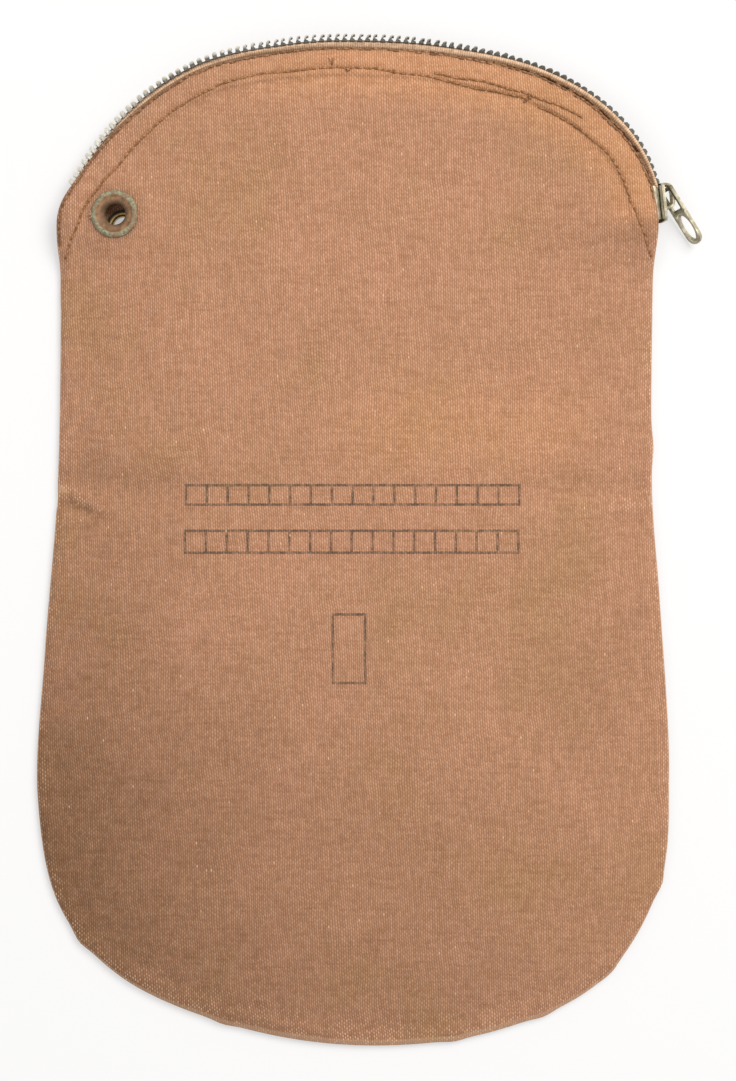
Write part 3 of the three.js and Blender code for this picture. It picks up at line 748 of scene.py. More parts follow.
def front_faces(xy, inset, along):
    """Heights of the front wall's outer and inner face: the clear height on the back wall, one layer of
    canvas or two in the hem, rounded at the edge, and drawn flat under the grommet's flange."""
    thick = CANVAS + HEM_EXTRA * hem_share(inset, along)
    middle = CANVAS + inside_height(xy, inset, along) + thick / 2
    half = rounded_half(thick, inset)
    shaped = relief(xy, inset, along)
    outer = middle + half + shaped * smoothstep(inset, 0.0, 0.8)
    inner = middle - half + 0.8 * shaped * smoothstep(inset, 4.0, 14.0)
    arm = xy - GROMMET
    seat = GROMMET_BASE[2] - (arm @ flange_axis[:2]) / flange_axis[2] + SEAT_RISE
    held = falling(np.linalg.norm(arm, axis=-1), SEAT_FLAT, SEAT_FADE)
    outer = outer * (1.0 - held) + seat * held
    inner = inner * (1.0 - held) + (seat - CANVAS) * held
    return outer, inner


def back_faces(xy, inset, along):
    """Heights of the back wall's inner and outer face: flat on the surface, thicker in the hem, rounded at
    the edge, low relief on the outer face, and dished up round the grommet."""
    x, y = xy[..., 0], xy[..., 1]
    half = rounded_half(CANVAS, inset)
    grooves = BACK_GROOVE * sewn_grooves(inset, along, SECOND_ROW, RESTART_ROW, EDGE_ROW)
    step = BACK_STEP * (1.0 - hem_share(inset, along)) * smoothstep(inset, 0.5, 3.0)
    slack = BACK_SLACK * (1.0 + np.sin(0.07 * x + 0.04 * y)) * smoothstep(inset, 4.0, 20.0)
    away = np.linalg.norm(xy - GROMMET_BACK, axis=-1)
    dish = GROMMET_BACK_RISE * falling(away, DISH_FLAT, DISH_FADE)
    outer = CANVAS / 2 - half + grooves + step + slack + dish
    inner = CANVAS / 2 + half + dish
    return inner, outer


def wall_grid(hole):
    """Spokes run from the outline to the middle of the bag, rings cross them: close together in the first
    15 mm, then at even shares of the way. Returns the points, and which cells are kept round a hole: cells
    inside it go, and the points left on its border are drawn onto its circle."""
    mouth_stations = np.arange(-MOUTH_MARGIN, MOUTH + MOUTH_MARGIN, 1.0)
    seam_stations = np.linspace(MOUTH + MOUTH_MARGIN, PERIMETER - MOUTH_MARGIN, SEAM_SPOKES, endpoint=False)
    stations = np.concatenate([mouth_stations, seam_stations])
    point, _, out = edge_at(stations)
    point = point + corner_bulge(stations)[:, None] * out
    centre = placed(*SPOKE_CENTRE)
    reach = np.linalg.norm(centre - point, axis=1)
    towards = (centre - point) / reach[:, None]
    slope = -(towards * out).sum(axis=1)
    rim = np.array(RIM_INSETS)[:, None] / slope[None]
    share = np.linspace(0.0, CENTRE_SHARE, DEEP_RINGS)[1:, None] ** RING_EASE
    deep = rim[-1] + (reach - rim[-1]) * share
    depth = np.vstack([rim, deep])
    xy = point[None] + depth[..., None] * towards[None]
    pairs = xy + np.roll(xy, -1, axis=1)
    middles = pairs[:-1] / 4 + pairs[1:] / 4
    keep = np.linalg.norm(middles - hole, axis=-1) > CANVAS_HOLE
    touched = np.zeros(xy.shape[:2], int)
    cells = np.zeros(xy.shape[:2], int)
    for row, column in ((0, 0), (0, 1), (1, 0), (1, 1)):
        touched[row:len(xy) - 1 + row] += np.roll(~keep, column, axis=1)
        cells[row:len(xy) - 1 + row] += 1
    border = (touched > 0) & (touched < cells)
    arm = xy - hole
    onto = hole + arm * (CANVAS_HOLE / np.linalg.norm(arm, axis=-1))[..., None]
    return np.where(border[..., None], onto, xy), keep


def wall_form(xy, keep, upper, lower):
    """A closed wall of two faces over one grid: they share the outermost ring, close on a point each in the
    middle, and are joined by a strip round the hole."""
    rings, spokes = xy.shape[:2]
    top = np.dstack([xy, upper]).reshape(-1, 3)
    bottom = np.dstack([xy, lower])[1:].reshape(-1, 3)
    poles = np.array([top[-spokes:].mean(axis=0), bottom[-spokes:].mean(axis=0)])
    top_index = np.arange(rings * spokes).reshape(rings, spokes)
    below = np.arange((rings - 1) * spokes).reshape(-1, spokes) + rings * spokes
    bottom_index = np.vstack([top_index[:1], below])
    top_pole = (2 * rings - 1) * spokes
    top_quads = grid_faces(rings, spokes, wrap=True)[keep.ravel()]
    bottom_of = bottom_index.ravel()
    bottom_quads = bottom_of[top_quads][:, ::-1]
    edges = np.vstack([top_quads[:, [k, (k + 1) % 4]] for k in range(4)])
    code = edges[:, 0] * len(bottom_of) + edges[:, 1]
    back = edges[:, 1] * len(bottom_of) + edges[:, 0]
    lone = edges[~np.isin(code, back)]
    lone = lone[(lone.min(axis=1) >= spokes) & (lone.max(axis=1) < (rings - 1) * spokes)]
    strip = np.stack([lone[:, 1], lone[:, 0], bottom_of[lone[:, 0]], bottom_of[lone[:, 1]]], axis=1)
    last = top_index[-1]
    last_below = bottom_index[-1]
    top_fan = np.stack([last, np.roll(last, -1), np.full(spokes, top_pole)], axis=1)
    bottom_fan = np.stack([np.roll(last_below, -1), last_below, np.full(spokes, top_pole + 1)], axis=1)
    faces = [np.vstack([top_quads, bottom_quads, strip]), np.vstack([top_fan, bottom_fan])]
    return facing_out(np.vstack([top, bottom, poles]), faces)


def both_faces(values):
    """A value of the grid for every point of a wall: upper face, lower face without the rim, two poles."""
    middle = values[-1].mean()
    return np.concatenate([values.ravel(), values[1:].ravel(), [middle, middle]])


def wall_wear(xy, inset, along, hole):
    """Stored shares of paler cloth, of wear with painted light, and of soil with painted shade: paler along
    the mouth towards the right and in a band above the fold; wear along the seams, the foot, the creases
    and the far hem, and a paler seam rim that is painted light; darker towards the bottom; painted shade
    at the lower left, on both flanks, in the folds and along the stitches; soil and painted shade round
    the grommet and on the frayed edge of the mouth."""
    x, y = (xy - OFFSET)[..., 0], (xy - OFFSET)[..., 1]
    mouth = mouth_share(along)
    far_end = smoothstep(along, MOUTH - 80.0, MOUTH - 30.0)
    ridges, valleys = creases(xy)
    # Paler cloth along the mouth's hem towards the right, and in a band above the fold
    paler = mouth * falling(inset, 8.0, 20.0) * smoothstep(x, -70.0, 10.0)
    paler = paler + 0.5 * hump(y, 36.0, 16.0) * smoothstep(x, -25.0, 10.0) * falling(x, 60.0, 85.0)
    edge = (1.0 - mouth) * falling(inset, 0.5, 5.0)
    # Painted light: a paler rim along the seams, lifting the shade on the rounded edge
    fuzz_and_rim_light = (1.0 - mouth) * hump(inset, 0.0, 0.7)
    crease = np.clip(ridges, 0.0, 1.0) * smoothstep(np.abs(x), 60.0, 84.0)
    foot = falling(y, -165.0, -110.0) * falling(inset, 0.0, 16.0)
    rubbed = mouth * far_end * falling(inset, 3.0, 8.6)
    wear_and_rim_light = edge * 0.5 + fuzz_and_rim_light * 0.6 + crease * 0.92 + foot * 0.6 + rubbed * 0.5
    # Painted shade: darker at the lower left and on both flanks, as the light falls off
    corner = np.clip(-x / 95.0, 0.0, 1.1) ** 1.6 * falling(y, -90.0, 0.0)
    lower_left_shade = falling(x, -40.0, 60.0) * falling(y, -100.0, 0.0)
    flank_shade = falling(x, -75.0, -30.0) * hump(y, -10.0, 40.0) + 0.3 * hump(x, 76.0, 18.0)
    flank_shade = flank_shade + 0.6 * hump(x, 74.0, 22.0) * hump(y, -45.0, 22.0)
    # Darker towards the bottom
    low = falling(y, -165.0, -20.0) + hump(x, 30.0, 35.0) * falling(y, -100.0, -60.0)
    # Painted shade in the crease valleys and along the stitch grooves
    fold_shade = np.minimum(valleys, 1.0) ** 2
    sewn = sewn_grooves(inset, along, SECOND_ROW, RESTART_ROW, REPAIR_ROW)
    # Soil and painted shade in the gap along the frayed edge of the mouth
    frayed_and_gap_shade = mouth * hump(inset, 0.0, 0.9 + 0.4 * far_end)
    away = np.linalg.norm(xy - hole, axis=-1)
    # Round the grommet: a stain, and painted shade under its flange
    stain_and_shade = falling(away, 6.0, 12.0) + 2.0 * falling(away, 5.8, 7.0)
    soil_and_shade = 0.45 * corner + 0.22 * lower_left_shade + 0.19 * flank_shade + 0.1 * low + 0.35 * fold_shade
    soil_and_shade = soil_and_shade + 0.3 * sewn + 0.6 * frayed_and_gap_shade + 0.3 * stain_and_shade
    shares = {"paler": paler, "wear_and_rim_light": np.clip(wear_and_rim_light, 0.0, 1.0), "soil_and_shade": np.clip(soil_and_shade, 0.0, 0.85)}
    return {key: both_faces(values) for key, values in shares.items()}


def canvas_wall(name, node, hole, faces_of, finish):
    """One canvas wall of the bag as a closed sheet."""
    xy, keep = wall_grid(hole)
    inset, along = nearest_edge(xy)
    inset = np.clip(inset + corner_bulge(along), 0.0, None)
    inset[0] = 0.0
    upper, lower = faces_of(xy, inset, along)
    form = wall_form(xy, keep, upper, lower)
    piece = add_piece(name, form, finish, node, stored=wall_wear(xy, inset, along, hole))


canvas_wall("canvas_front", "front_panel", GROMMET, front_faces, canvas_front)
canvas_wall("canvas_back", "back_panel", GROMMET_BACK, back_faces, canvas_back)


# Zip: tapes and teeth follow the edge of each wall

ZIP_START = 11.3
TAPE_END = MOUTH - 9.5
TEETH_END = MOUTH - 17.0
TAPE_HALF = 0.4
TAPE_MIDDLE = 0.7
TAPE_COVER = 8.0
TAPE_BITE = 0.9
TAPE_THINNER = 0.15
FLAT_STEPS = 5
BEND_STEPS = 12
BEAD = 0.6
BEAD_SHARE = 0.8
BEAD_WIDTH = 0.1
BEAD_SLIMMER = 0.5

# The tape's bend starts this far before the teeth and inside the edge; its curve has these two handles
BEND_BEFORE = 1.2
BEND_INSIDE = 0.4
LEAVE_HANDLE = 1.0
FOOT_HANDLE = 1.5

# Painted highlight on the tape's bead: place, middle and width as shares of the way across the tape
CORD_HIGHLIGHT = [
    (11.0, 0.78, 0.1), (60.0, 0.78, 0.11), (110.0, 0.7, 0.14), (150.0, 0.77, 0.13), (170.0, 0.64, 0.12),
    (195.0, 0.64, 0.12), (MOUTH, 0.7, 0.1),
]

# Lie of the tooth row along the edge: place, out of the edge, up from the tape, roll in degrees
FRONT_ROW = [
    (11.0, 1.8, -0.2, 102.0), (32.0, 2.7, -0.2, 84.0), (58.0, 2.5, -0.2, 58.0), (125.0, 2.05, -0.1, 12.0),
    (MOUTH - 60.0, 1.35, -0.5, 8.0), (MOUTH - 17.0, -0.2, -0.7, 0.0),
]
BACK_ROW = [
    (11.0, 1.0, 0.3, 78.0), (45.0, 1.3, 0.1, 30.0), (110.0, 1.85, 0.0, 0.0),
    (MOUTH - 60.0, 1.25, 0.7, 0.0), (MOUTH - 17.0, -1.4, 0.7, 0.0),
]
TOOTH_PITCH = 2.42

# Random roll and turn of each tooth, in radians
ROLL_STRAY = 0.05
TURN_STRAY = 0.06

# Dullness of the teeth along the edge: black at the slider's end, bright at the far end
TEETH_DULL = [
    (11.0, 0.8), (70.0, 0.6), (110.0, 0.3), (150.0, 0.1), (180.0, -0.2), (205.0, -0.8), (MOUTH, -1.2),
]

# Along the edge the far teeth are plump, and those near the slider broad, with legs like beads
PLUMP_FROM = 140.0
PLUMP_TO = 178.0
BROAD_FROM = 60.0
BROAD_TO = 105.0

# Shares by which broad teeth widen at head and leg and narrow at both faces, and their shoulders' depth
HEAD_BROADER = 0.2
LEG_BROADER = 0.42
BEAD_NARROWER = 0.45
BEAD_SHOULDER = 0.5


def inner_edge_height(along, lean):
    """Height of the wall's inner face at its edge: lean is 1 for the front wall, -1 for the back wall."""
    if lean < 0:
        return np.full(np.shape(along), CANVAS)
    return CANVAS + eased(GAPE, along)[..., 0]


def zip_tape(name, node, rows, lean):
    """A tape carried along the edge: its middle line runs flat under the hem, then bends by a cubic Bezier
    curve to the foot of the teeth, and it thickens into a corded bead, slimmer near the slider."""
    along = np.arange(ZIP_START - 2.0, TAPE_END, 1.0)
    point, _, out = edge_at(along)
    row = eased(rows, along)
    roll = np.radians(row[:, 2])
    reach = np.stack([np.cos(roll), -np.sin(roll)], axis=1)
    level = np.full(len(along), -TAPE_MIDDLE)
    foot = np.stack([row[:, 0], level + lean * row[:, 1]], axis=1) + TAPE_BITE * reach
    inner = np.stack([np.full(len(along), -TAPE_COVER), level], axis=1)
    leave = np.stack([np.minimum(foot[:, 0] - BEND_BEFORE, -BEND_INSIDE), level], axis=1)
    t = np.linspace(0.0, 1.0, BEND_STEPS)[None, :, None]
    handle = leave + [LEAVE_HANDLE, 0.0]
    other_handle = foot - FOOT_HANDLE * reach
    bend = ((1 - t) ** 3 * leave[:, None] + 3 * t * (1 - t) ** 2 * handle[:, None]
            + 3 * t**2 * (1 - t) * other_handle[:, None] + t**3 * foot[:, None])
    way = np.linspace(0.0, 1.0, FLAT_STEPS)[None, :-1, None]
    flat = inner[:, None] + way * (leave - inner)[:, None]
    line = np.concatenate([flat, bend], axis=1)
    heading = unit(np.gradient(line, axis=1))
    normal = turned_left(heading)
    share = np.linspace(0.0, 1.0, line.shape[1])
    bead = hump(share, BEAD_SHARE, BEAD_WIDTH)
    slim = 1.0 - BEAD_SLIMMER * falling(along, BROAD_FROM, BROAD_TO)[:, None]
    half = TAPE_HALF + BEAD * slim * bead - TAPE_THINNER * smoothstep(share, 0.9, 1.0)
    above = line + normal * half[..., None]
    below = (line - normal * half[..., None])[:, ::-1]
    section = np.concatenate([above, below], axis=1)
    section = section * np.array([1.0, lean])
    centres = np.column_stack([point, inner_edge_height(along, lean)])
    form = tube(centres, laid_flat(out), np.tile(UP, (len(along), 1)), section)
    # Where the painted highlight lies across the tape
    pale = eased(CORD_HIGHLIGHT, along)
    crest = hump(share[None], pale[:, :1], pale[:, 1:])
    stored = {
        "along": np.repeat(along[:, None], section.shape[1], axis=1),
        "crest": np.hstack([crest, np.zeros(crest.shape)]),
    }
    piece = add_piece(name, form, zip_cotton, node, stored=stored)


# Tooth seen from its face, along the row and outwards: a broad leg with a thin hooked head, or a plump one
TOOTH_HOOKED = np.array([
    (-0.74, 0.0), (0.74, 0.0), (0.82, 0.4), (0.74, 0.85), (0.58, 1.2), (0.5, 1.65), (0.44, 2.1),
    (0.28, 2.6), (-0.08, 2.95), (-0.46, 3.08), (-0.88, 2.92), (-0.82, 2.56), (-0.42, 2.52), (-0.14, 2.32),
    (-0.02, 2.0), (-0.02, 1.5), (-0.16, 1.15), (-0.64, 0.9), (-0.82, 0.4),
])
TOOTH_PLUMP = np.array([
    (-0.74, 0.0), (0.74, 0.0), (0.8, 0.4), (0.74, 0.85), (0.74, 1.15), (0.86, 1.5), (0.88, 1.85),
    (0.72, 2.25), (0.34, 2.5), (-0.06, 2.58), (-0.48, 2.5), (-0.78, 2.25), (-0.88, 1.95), (-0.84, 1.7),
    (-0.74, 1.45), (-0.66, 1.3), (-0.64, 1.1), (-0.7, 0.9), (-0.8, 0.4),
])
TOOTH_BEVEL = 0.15

# Half thickness of a tooth, and the grime and painted shade on it, at distances from its foot
TOOTH_REACH = [0.0, 1.1, 1.6, 3.1]
TOOTH_HALF = [1.4, 1.36, 0.95, 0.7]
GRIME_AND_SHADE_REACH = [0.0, 1.05, 1.5, 2.0, 3.1]
TOOTH_GRIME_AND_SHADE = [1.3, 1.25, 0.6, 0.2, 0.05]


def tooth_forms(plump, broad):
    """Teeth whose outlines lie between the hooked and the plump one by a share for each: four loops, two
    full ones and two drawn in by the bevel above and below them, the half thickness falling from the leg to
    the head. A share of broad widens the full loops, most at the leg, and narrows the drawn-in ones."""
    outline = TOOTH_HOOKED + plump[:, None, None] * (TOOTH_PLUMP - TOOTH_HOOKED)
    heading = unit(np.roll(outline, -1, axis=1) - np.roll(outline, 1, axis=1))
    half = np.interp(outline[..., 1:], TOOTH_REACH, TOOTH_HALF)
    wider = np.interp(outline[..., 1], [0.9, 1.4], [LEG_BROADER, HEAD_BROADER]) * broad[:, None]
    drawn = outline + TOOTH_BEVEL * turned_left(heading)
    outline[..., 0] *= 1.0 + wider
    drawn[..., 0] *= (1.0 + wider) * (1.0 - BEAD_NARROWER * broad[:, None])
    shoulder = TOOTH_BEVEL + BEAD_SHOULDER * broad[:, None, None]
    loops = [
        np.dstack([drawn, -half]), np.dstack([outline, shoulder - half]),
        np.dstack([outline, half - shoulder]), np.dstack([drawn, half]),
    ]
    return np.hstack(loops), capped_faces(len(loops), outline.shape[1])


def zip_teeth(name, node, rows, lean):
    """A row of teeth: a form for each at the pitch along the edge, turned with the edge and with the roll
    of the tape, and by small random angles."""
    along = np.arange(ZIP_START, TEETH_END, TOOTH_PITCH)
    point, ahead, out = edge_at(along)
    row = eased(rows, along)
    roll = np.radians(row[:, 2])[:, None] + ROLL_STRAY * rng.standard_normal((len(along), 1))
    outwards, forwards = laid_flat(out), laid_flat(ahead)
    reach = outwards * np.cos(roll) - lean * UP * np.sin(roll)
    thick = lean * outwards * np.sin(roll) + UP * np.cos(roll)
    turn = TURN_STRAY * rng.standard_normal((len(along), 1))
    first = unit(forwards + turn * reach)
    second = unit(reach - turn * forwards)
    height = inner_edge_height(along, lean) - lean * TAPE_MIDDLE + row[:, 1]
    origin = np.column_stack([point + out * row[:, :1], height])
    plump = smoothstep(along, PLUMP_FROM, PLUMP_TO)
    broad = falling(along, BROAD_FROM, BROAD_TO)
    points, faces = tooth_forms(plump, broad)
    form = repeated(points, faces, origin, first, second, thick)
    # Grime and painted shade at the foot by the tape, darker towards the slider's end
    foot = np.interp(points[..., 1], GRIME_AND_SHADE_REACH, TOOTH_GRIME_AND_SHADE)
    darker = np.interp(along, *np.transpose(TEETH_DULL))
    grime_and_shade = np.clip(foot + darker[:, None], 0.0, 1.0)
    add_piece(name, form, teeth_metal, node, stored={"grime_and_shade": grime_and_shade}, smooth=False)


zip_tape("tape_front", "zip_tape_front", FRONT_ROW, 1.0)
zip_tape("tape_back", "zip_tape_back", BACK_ROW, -1.0)
zip_teeth("teeth_front", "zip_teeth_front", FRONT_ROW, 1.0)
zip_teeth("teeth_back", "zip_teeth_back", BACK_ROW, -1.0)


# Slider and pull tab: their axes come from the hinge

SLIDER_LENGTH = 12.0
SLIDER_MOUTH = 8.8
SLIDER_TAIL = 7.0
SLIDER_HALF = 2.0
SLIDER_PLATE = 1.0
SLIDER_WAIST = -2.0
SLIDER_SLOT = 0.4
SLIDER_CORNER = 1.4
SLIDER_BEVEL = 0.28
FLANGE_WALL = 0.5
FLANGE_START = 0.8
FLANGE_CORNER = 0.15
FLANGE_BITE = 0.3
WEDGE_BITE = 0.5
INNER_BEVEL = 0.1
BRIDGE_FROM = -6.3
BRIDGE_TO = 2.2
BRIDGE_CROWN = 4.1
BRIDGE_THICK = 0.9
BRIDGE_WIDE = 3.0
BRIDGE_FOOT = 0.6
BRIDGE_KNEE = 1.6
BRIDGE_CORNER = 0.25
TAB_AT = -4.1
TAB_ABOVE = 1.92
TAB_SWING = np.radians(25.0)
TAB_TWIST = np.radians(-22.0)
TAB_LENGTH = 20.0
TAB_HALF = 3.1
TAB_BAR = 0.6
EYE_END = 7.4
EYE_HALF = 1.9
EYE_CORNER = 0.5
TAB_CORNER = 0.55
TAB_JOIN = 8.5
TAB_LAP = 0.3
TAB_BEVEL = 0.22
HOLE_FROM = 9.6
HOLE_TO = 18.4
HOLE_HALF = 2.1
TAB_THICK = 0.45

hinge = frame["joints"][0]
HINGE_AT = np.array(hinge["pos_m"]) / MM
ACROSS = unit(np.array(hinge["axis"]))
flat_out = unit(ACROSS[:2])
TO_TAIL = np.array([flat_out[1], -flat_out[0], 0.0])
OUTWARDS = np.cross(ACROSS, TO_TAIL)
SLIDER_TURN = np.stack([ACROSS, TO_TAIL, OUTWARDS])
SLIDER_AT = HINGE_AT - TAB_AT * TO_TAIL - (SLIDER_HALF + TAB_ABOVE) * OUTWARDS


def on_slider(points):
    """Points of the slider's own frame, in the frame of the solids: x across, y to the tail, z outwards."""
    return SLIDER_AT + points @ SLIDER_TURN


def on_tab(points):
    """Points of the tab's own frame, x on the hinge, y along the tab and z out of its face: turned about y
    by the twist, about x by the swing, then carried to the hinge."""
    cos, sin = np.cos(TAB_TWIST), np.sin(TAB_TWIST)
    twist = np.array([[cos, 0.0, sin], [0.0, 1.0, 0.0], [-sin, 0.0, cos]])
    cos, sin = np.cos(TAB_SWING), np.sin(TAB_SWING)
    swing = np.array([[1.0, 0.0, 0.0], [0.0, cos, -sin], [0.0, sin, cos]])
    return HINGE_AT + points @ (swing @ twist).T @ SLIDER_TURN


def rounded(corners, radius, steps=5):
    """A polygon with each corner replaced by a quadratic curve that starts and ends a radius from it."""
    corners = np.array(corners, float)
    to_before = unit(np.roll(corners, 1, axis=0) - corners)
    to_after = unit(np.roll(corners, -1, axis=0) - corners)
    t = np.linspace(0.0, 1.0, steps)[None, :, None]
    start = (corners + radius * to_before)[:, None]
    end = (corners + radius * to_after)[:, None]
    return ((1 - t) ** 2 * start + 2 * t * (1 - t) * corners[:, None] + t**2 * end).reshape(-1, 2)


def box_loop(half, low, high, radius, steps=5):
    """A rounded box as wide as half on either side of the middle line, from low to high."""
    return rounded([(-half, low), (half, low), (half, high), (-half, high)], radius, steps)


def level_loop(outline, distance, height):
    """An anticlockwise outline drawn inwards by a distance along its own normals and set at a height."""
    heading = unit(np.roll(outline, -1, axis=0) - np.roll(outline, 1, axis=0))
    drawn = outline + distance * turned_left(heading)
    return np.column_stack([drawn, np.full(len(outline), height)])


def plate(outline, low, high, bevel):
    """A plate with a thin raised edge: loops from its lower to its upper face, each face sunk by the bevel
    in a slope of 45 degrees from its edge."""
    tarnish_and_shade = bevel * (1.0 - np.sin(np.linspace(0.0, np.pi / 2, 4)))
    loops = [level_loop(outline, depth, low + depth) for depth in tarnish_and_shade]
    loops += [level_loop(outline, depth, high - depth) for depth in tarnish_and_shade[::-1]]
    return facing_out(np.vstack(loops), capped_faces(len(loops), len(outline)))


def holed_plate(outer, inner, half, bevel):
    """A plate with a hole: a closed band whose section runs over the upper face from the outline to the
    hole, down its wall, back over the lower face and up the outside. Between the faces both walls are set
    back by the bevel along quarter circles."""
    angle = np.linspace(0.0, np.pi / 2, 4)
    steps = list(zip(bevel * np.sin(angle), half - bevel * (1.0 - np.cos(angle))))
    loops = [level_loop(outer, back, level) for back, level in steps[::-1]]
    loops += [level_loop(inner, -back, level) for back, level in steps]
    loops += [level_loop(inner, -back, -level) for back, level in steps[::-1]]
    loops += [level_loop(outer, back, -level) for back, level in steps]
    return closed_band(np.stack(loops, axis=1))


def even_loop(outline, count):
    """A closed outline resampled at even steps, from the sample nearest to straight ahead of its middle."""
    closed = np.vstack([outline, outline[:1]])
    along = np.concatenate([[0.0], np.cumsum(np.linalg.norm(np.diff(closed, axis=0), axis=1))])
    at = np.linspace(0.0, along[-1], count, endpoint=False)
    even = np.stack([np.interp(at, along, column) for column in closed.T], axis=1)
    arm = even - even.mean(axis=0)
    return np.roll(even, -np.argmin(np.abs(np.arctan2(arm[:, 0], arm[:, 1]))), axis=0)


def slider_form():
    """Two plates held apart by a wedge, flanges turned in along their sides, and a bridge over the outer
    plate: a box section along a curve through the bridge's feet, knees and crown."""
    end = SLIDER_LENGTH / 2
    mouth, tail = SLIDER_MOUTH / 2, SLIDER_TAIL / 2
    gap = SLIDER_HALF - SLIDER_PLATE
    outline = rounded([
        (-mouth, -end), (mouth, -end), (mouth, SLIDER_WAIST),
        (tail, end), (-tail, end), (-mouth, SLIDER_WAIST),
    ], SLIDER_CORNER)
    forms = [
        plate(outline, gap, SLIDER_HALF, SLIDER_BEVEL),
        plate(outline, -SLIDER_HALF, -gap, SLIDER_BEVEL),
    ]
    rail = np.array([
        (mouth - FLANGE_WALL, FLANGE_START - end), (mouth - FLANGE_WALL, SLIDER_WAIST - 0.6),
        (tail - FLANGE_WALL + 0.3, 1.5), (tail - FLANGE_WALL + 0.12, end - 0.5),
    ])
    for side in (1.0, -1.0):
        line = rail * (side, 1.0)
        walls = np.vstack([line + (FLANGE_WALL / 2, 0.0), line[::-1] - (FLANGE_WALL / 2, 0.0)])
        turned_in = rounded(walls, FLANGE_CORNER, 3)
        forms.append(plate(turned_in, SLIDER_SLOT / 2, gap + FLANGE_BITE, INNER_BEVEL))
        forms.append(plate(turned_in, -gap - FLANGE_BITE, -SLIDER_SLOT / 2, INNER_BEVEL))
    wedge = rounded([(-0.7, -end), (0.7, -end), (1.2, -4.6), (0.0, -0.8), (-1.2, -4.6)], 0.3, 3)
    forms.append(plate(wedge, -gap - WEDGE_BITE, gap + WEDGE_BITE, INNER_BEVEL))
    leg = BRIDGE_THICK / 2
    near, far = BRIDGE_FROM + leg, BRIDGE_TO - leg
    foot, knee = SLIDER_HALF - BRIDGE_FOOT, SLIDER_HALF + BRIDGE_KNEE
    crown = SLIDER_HALF + BRIDGE_CROWN - leg
    arch = through([
        (near, foot), (near, knee), (near + 0.5, crown - 0.5), (BRIDGE_FROM + 2.0, crown),
        (BRIDGE_TO - 2.4, crown), (far - 0.6, crown - 0.5), (far, knee), (far, foot),
    ], 6, closed=False)
    centres = np.column_stack([np.zeros(len(arch)), arch])
    side = np.tile([1.0, 0.0, 0.0], (len(arch), 1))
    up = np.cross(side, unit(np.gradient(centres, axis=0)))
    section = box_loop(BRIDGE_WIDE / 2, -leg, leg, BRIDGE_CORNER, 3)
    forms.append(tube(centres, side, up, np.tile(section, (len(arch), 1, 1))))
    return joined(forms)


def add_slider():
    """The slider, with painted shade: darkest between its plates and under its bridge."""
    points, faces = slider_form()
    height = points[:, 2]
    # Painted shade between the plates and under the bridge, on a little grime all over
    between = hump(height, 0.0, 0.9)
    above = smoothstep(height, SLIDER_HALF + 0.1, SLIDER_HALF + 0.5)
    under = 0.5 * hump(height, SLIDER_HALF + BRIDGE_KNEE, 1.2) * above
    grime_and_shade = {"grime_and_shade": np.clip(between + under + 0.08, 0.0, 1.0)}
    form = on_slider(points), faces
    add_piece("slider", form, slider_metal, "zip_slider", stored=grime_and_shade, smooth=False)


def add_pull_tab():
    """The pull tab: a square eye for the bridge and a long hole in a rounded end, as two flat bands."""
    eye_outer = box_loop(TAB_HALF, -TAB_BAR, TAB_JOIN + TAB_LAP, TAB_CORNER)
    eye_inner = box_loop(EYE_HALF, TAB_BAR, EYE_END, EYE_CORNER)
    angle = np.linspace(0.0, np.pi, 25)
    end = np.stack([TAB_HALF * np.cos(angle), TAB_LENGTH - TAB_HALF + TAB_HALF * np.sin(angle)], axis=1)
    long_outer = np.vstack([[(-TAB_HALF, TAB_JOIN - TAB_LAP), (TAB_HALF, TAB_JOIN - TAB_LAP)], end])
    long_inner = ring(64) * [HOLE_HALF, (HOLE_TO - HOLE_FROM) / 2] + [0.0, (HOLE_FROM + HOLE_TO) / 2]
    points, faces = joined([
        holed_plate(even_loop(eye_outer, 64), even_loop(eye_inner, 64), TAB_THICK - 0.02, TAB_BEVEL),
        holed_plate(even_loop(long_outer, 96), even_loop(long_inner, 96), TAB_THICK, TAB_BEVEL),
    ])
    x, y = points[:, 0], points[:, 1]
    # Painted shade on the walls of the eye round the bridge and near the hinge end, on a little grime
    in_eye = (np.abs(x) < EYE_HALF + 0.1) & (np.abs(y - EYE_END / 2) < EYE_END / 2 + 0.1)
    grime_and_shade = {"grime_and_shade": np.clip(0.5 * hump(y, 0.0, 3.0) + 0.1 + 0.7 * in_eye, 0.0, 1.0)}
    form = on_tab(points), faces
    add_piece("tab", form, slider_metal, "pull_tab", "pull", stored=grime_and_shade)


add_slider()
add_pull_tab()


# Grommets

GROMMET_SIDES = 72
# Profile from inside the barrel, over the dish and the rolled rim, under the flange and down to the flare
GROMMET_PROFILE = [
    (3.4, -1.5), (3.4, -0.4), (3.46, 0.1), (3.8, 0.42), (4.4, 0.72), (5.0, 0.86), (5.5, 1.02),
    (5.9, 1.28), (6.3, 1.42), (6.75, 1.4), (7.15, 1.2), (7.45, 0.9), (7.58, 0.6), (7.45, 0.34),
    (7.1, 0.26), (5.2, 0.26), (3.9, 0.24), (3.75, -0.1), (3.75, -1.15), (4.1, -1.3), (5.3, -1.32),
    (5.58, -1.5), (5.5, -1.78), (5.1, -1.9), (4.2, -1.92), (3.6, -1.85),
]
RIM_LOBES = 11


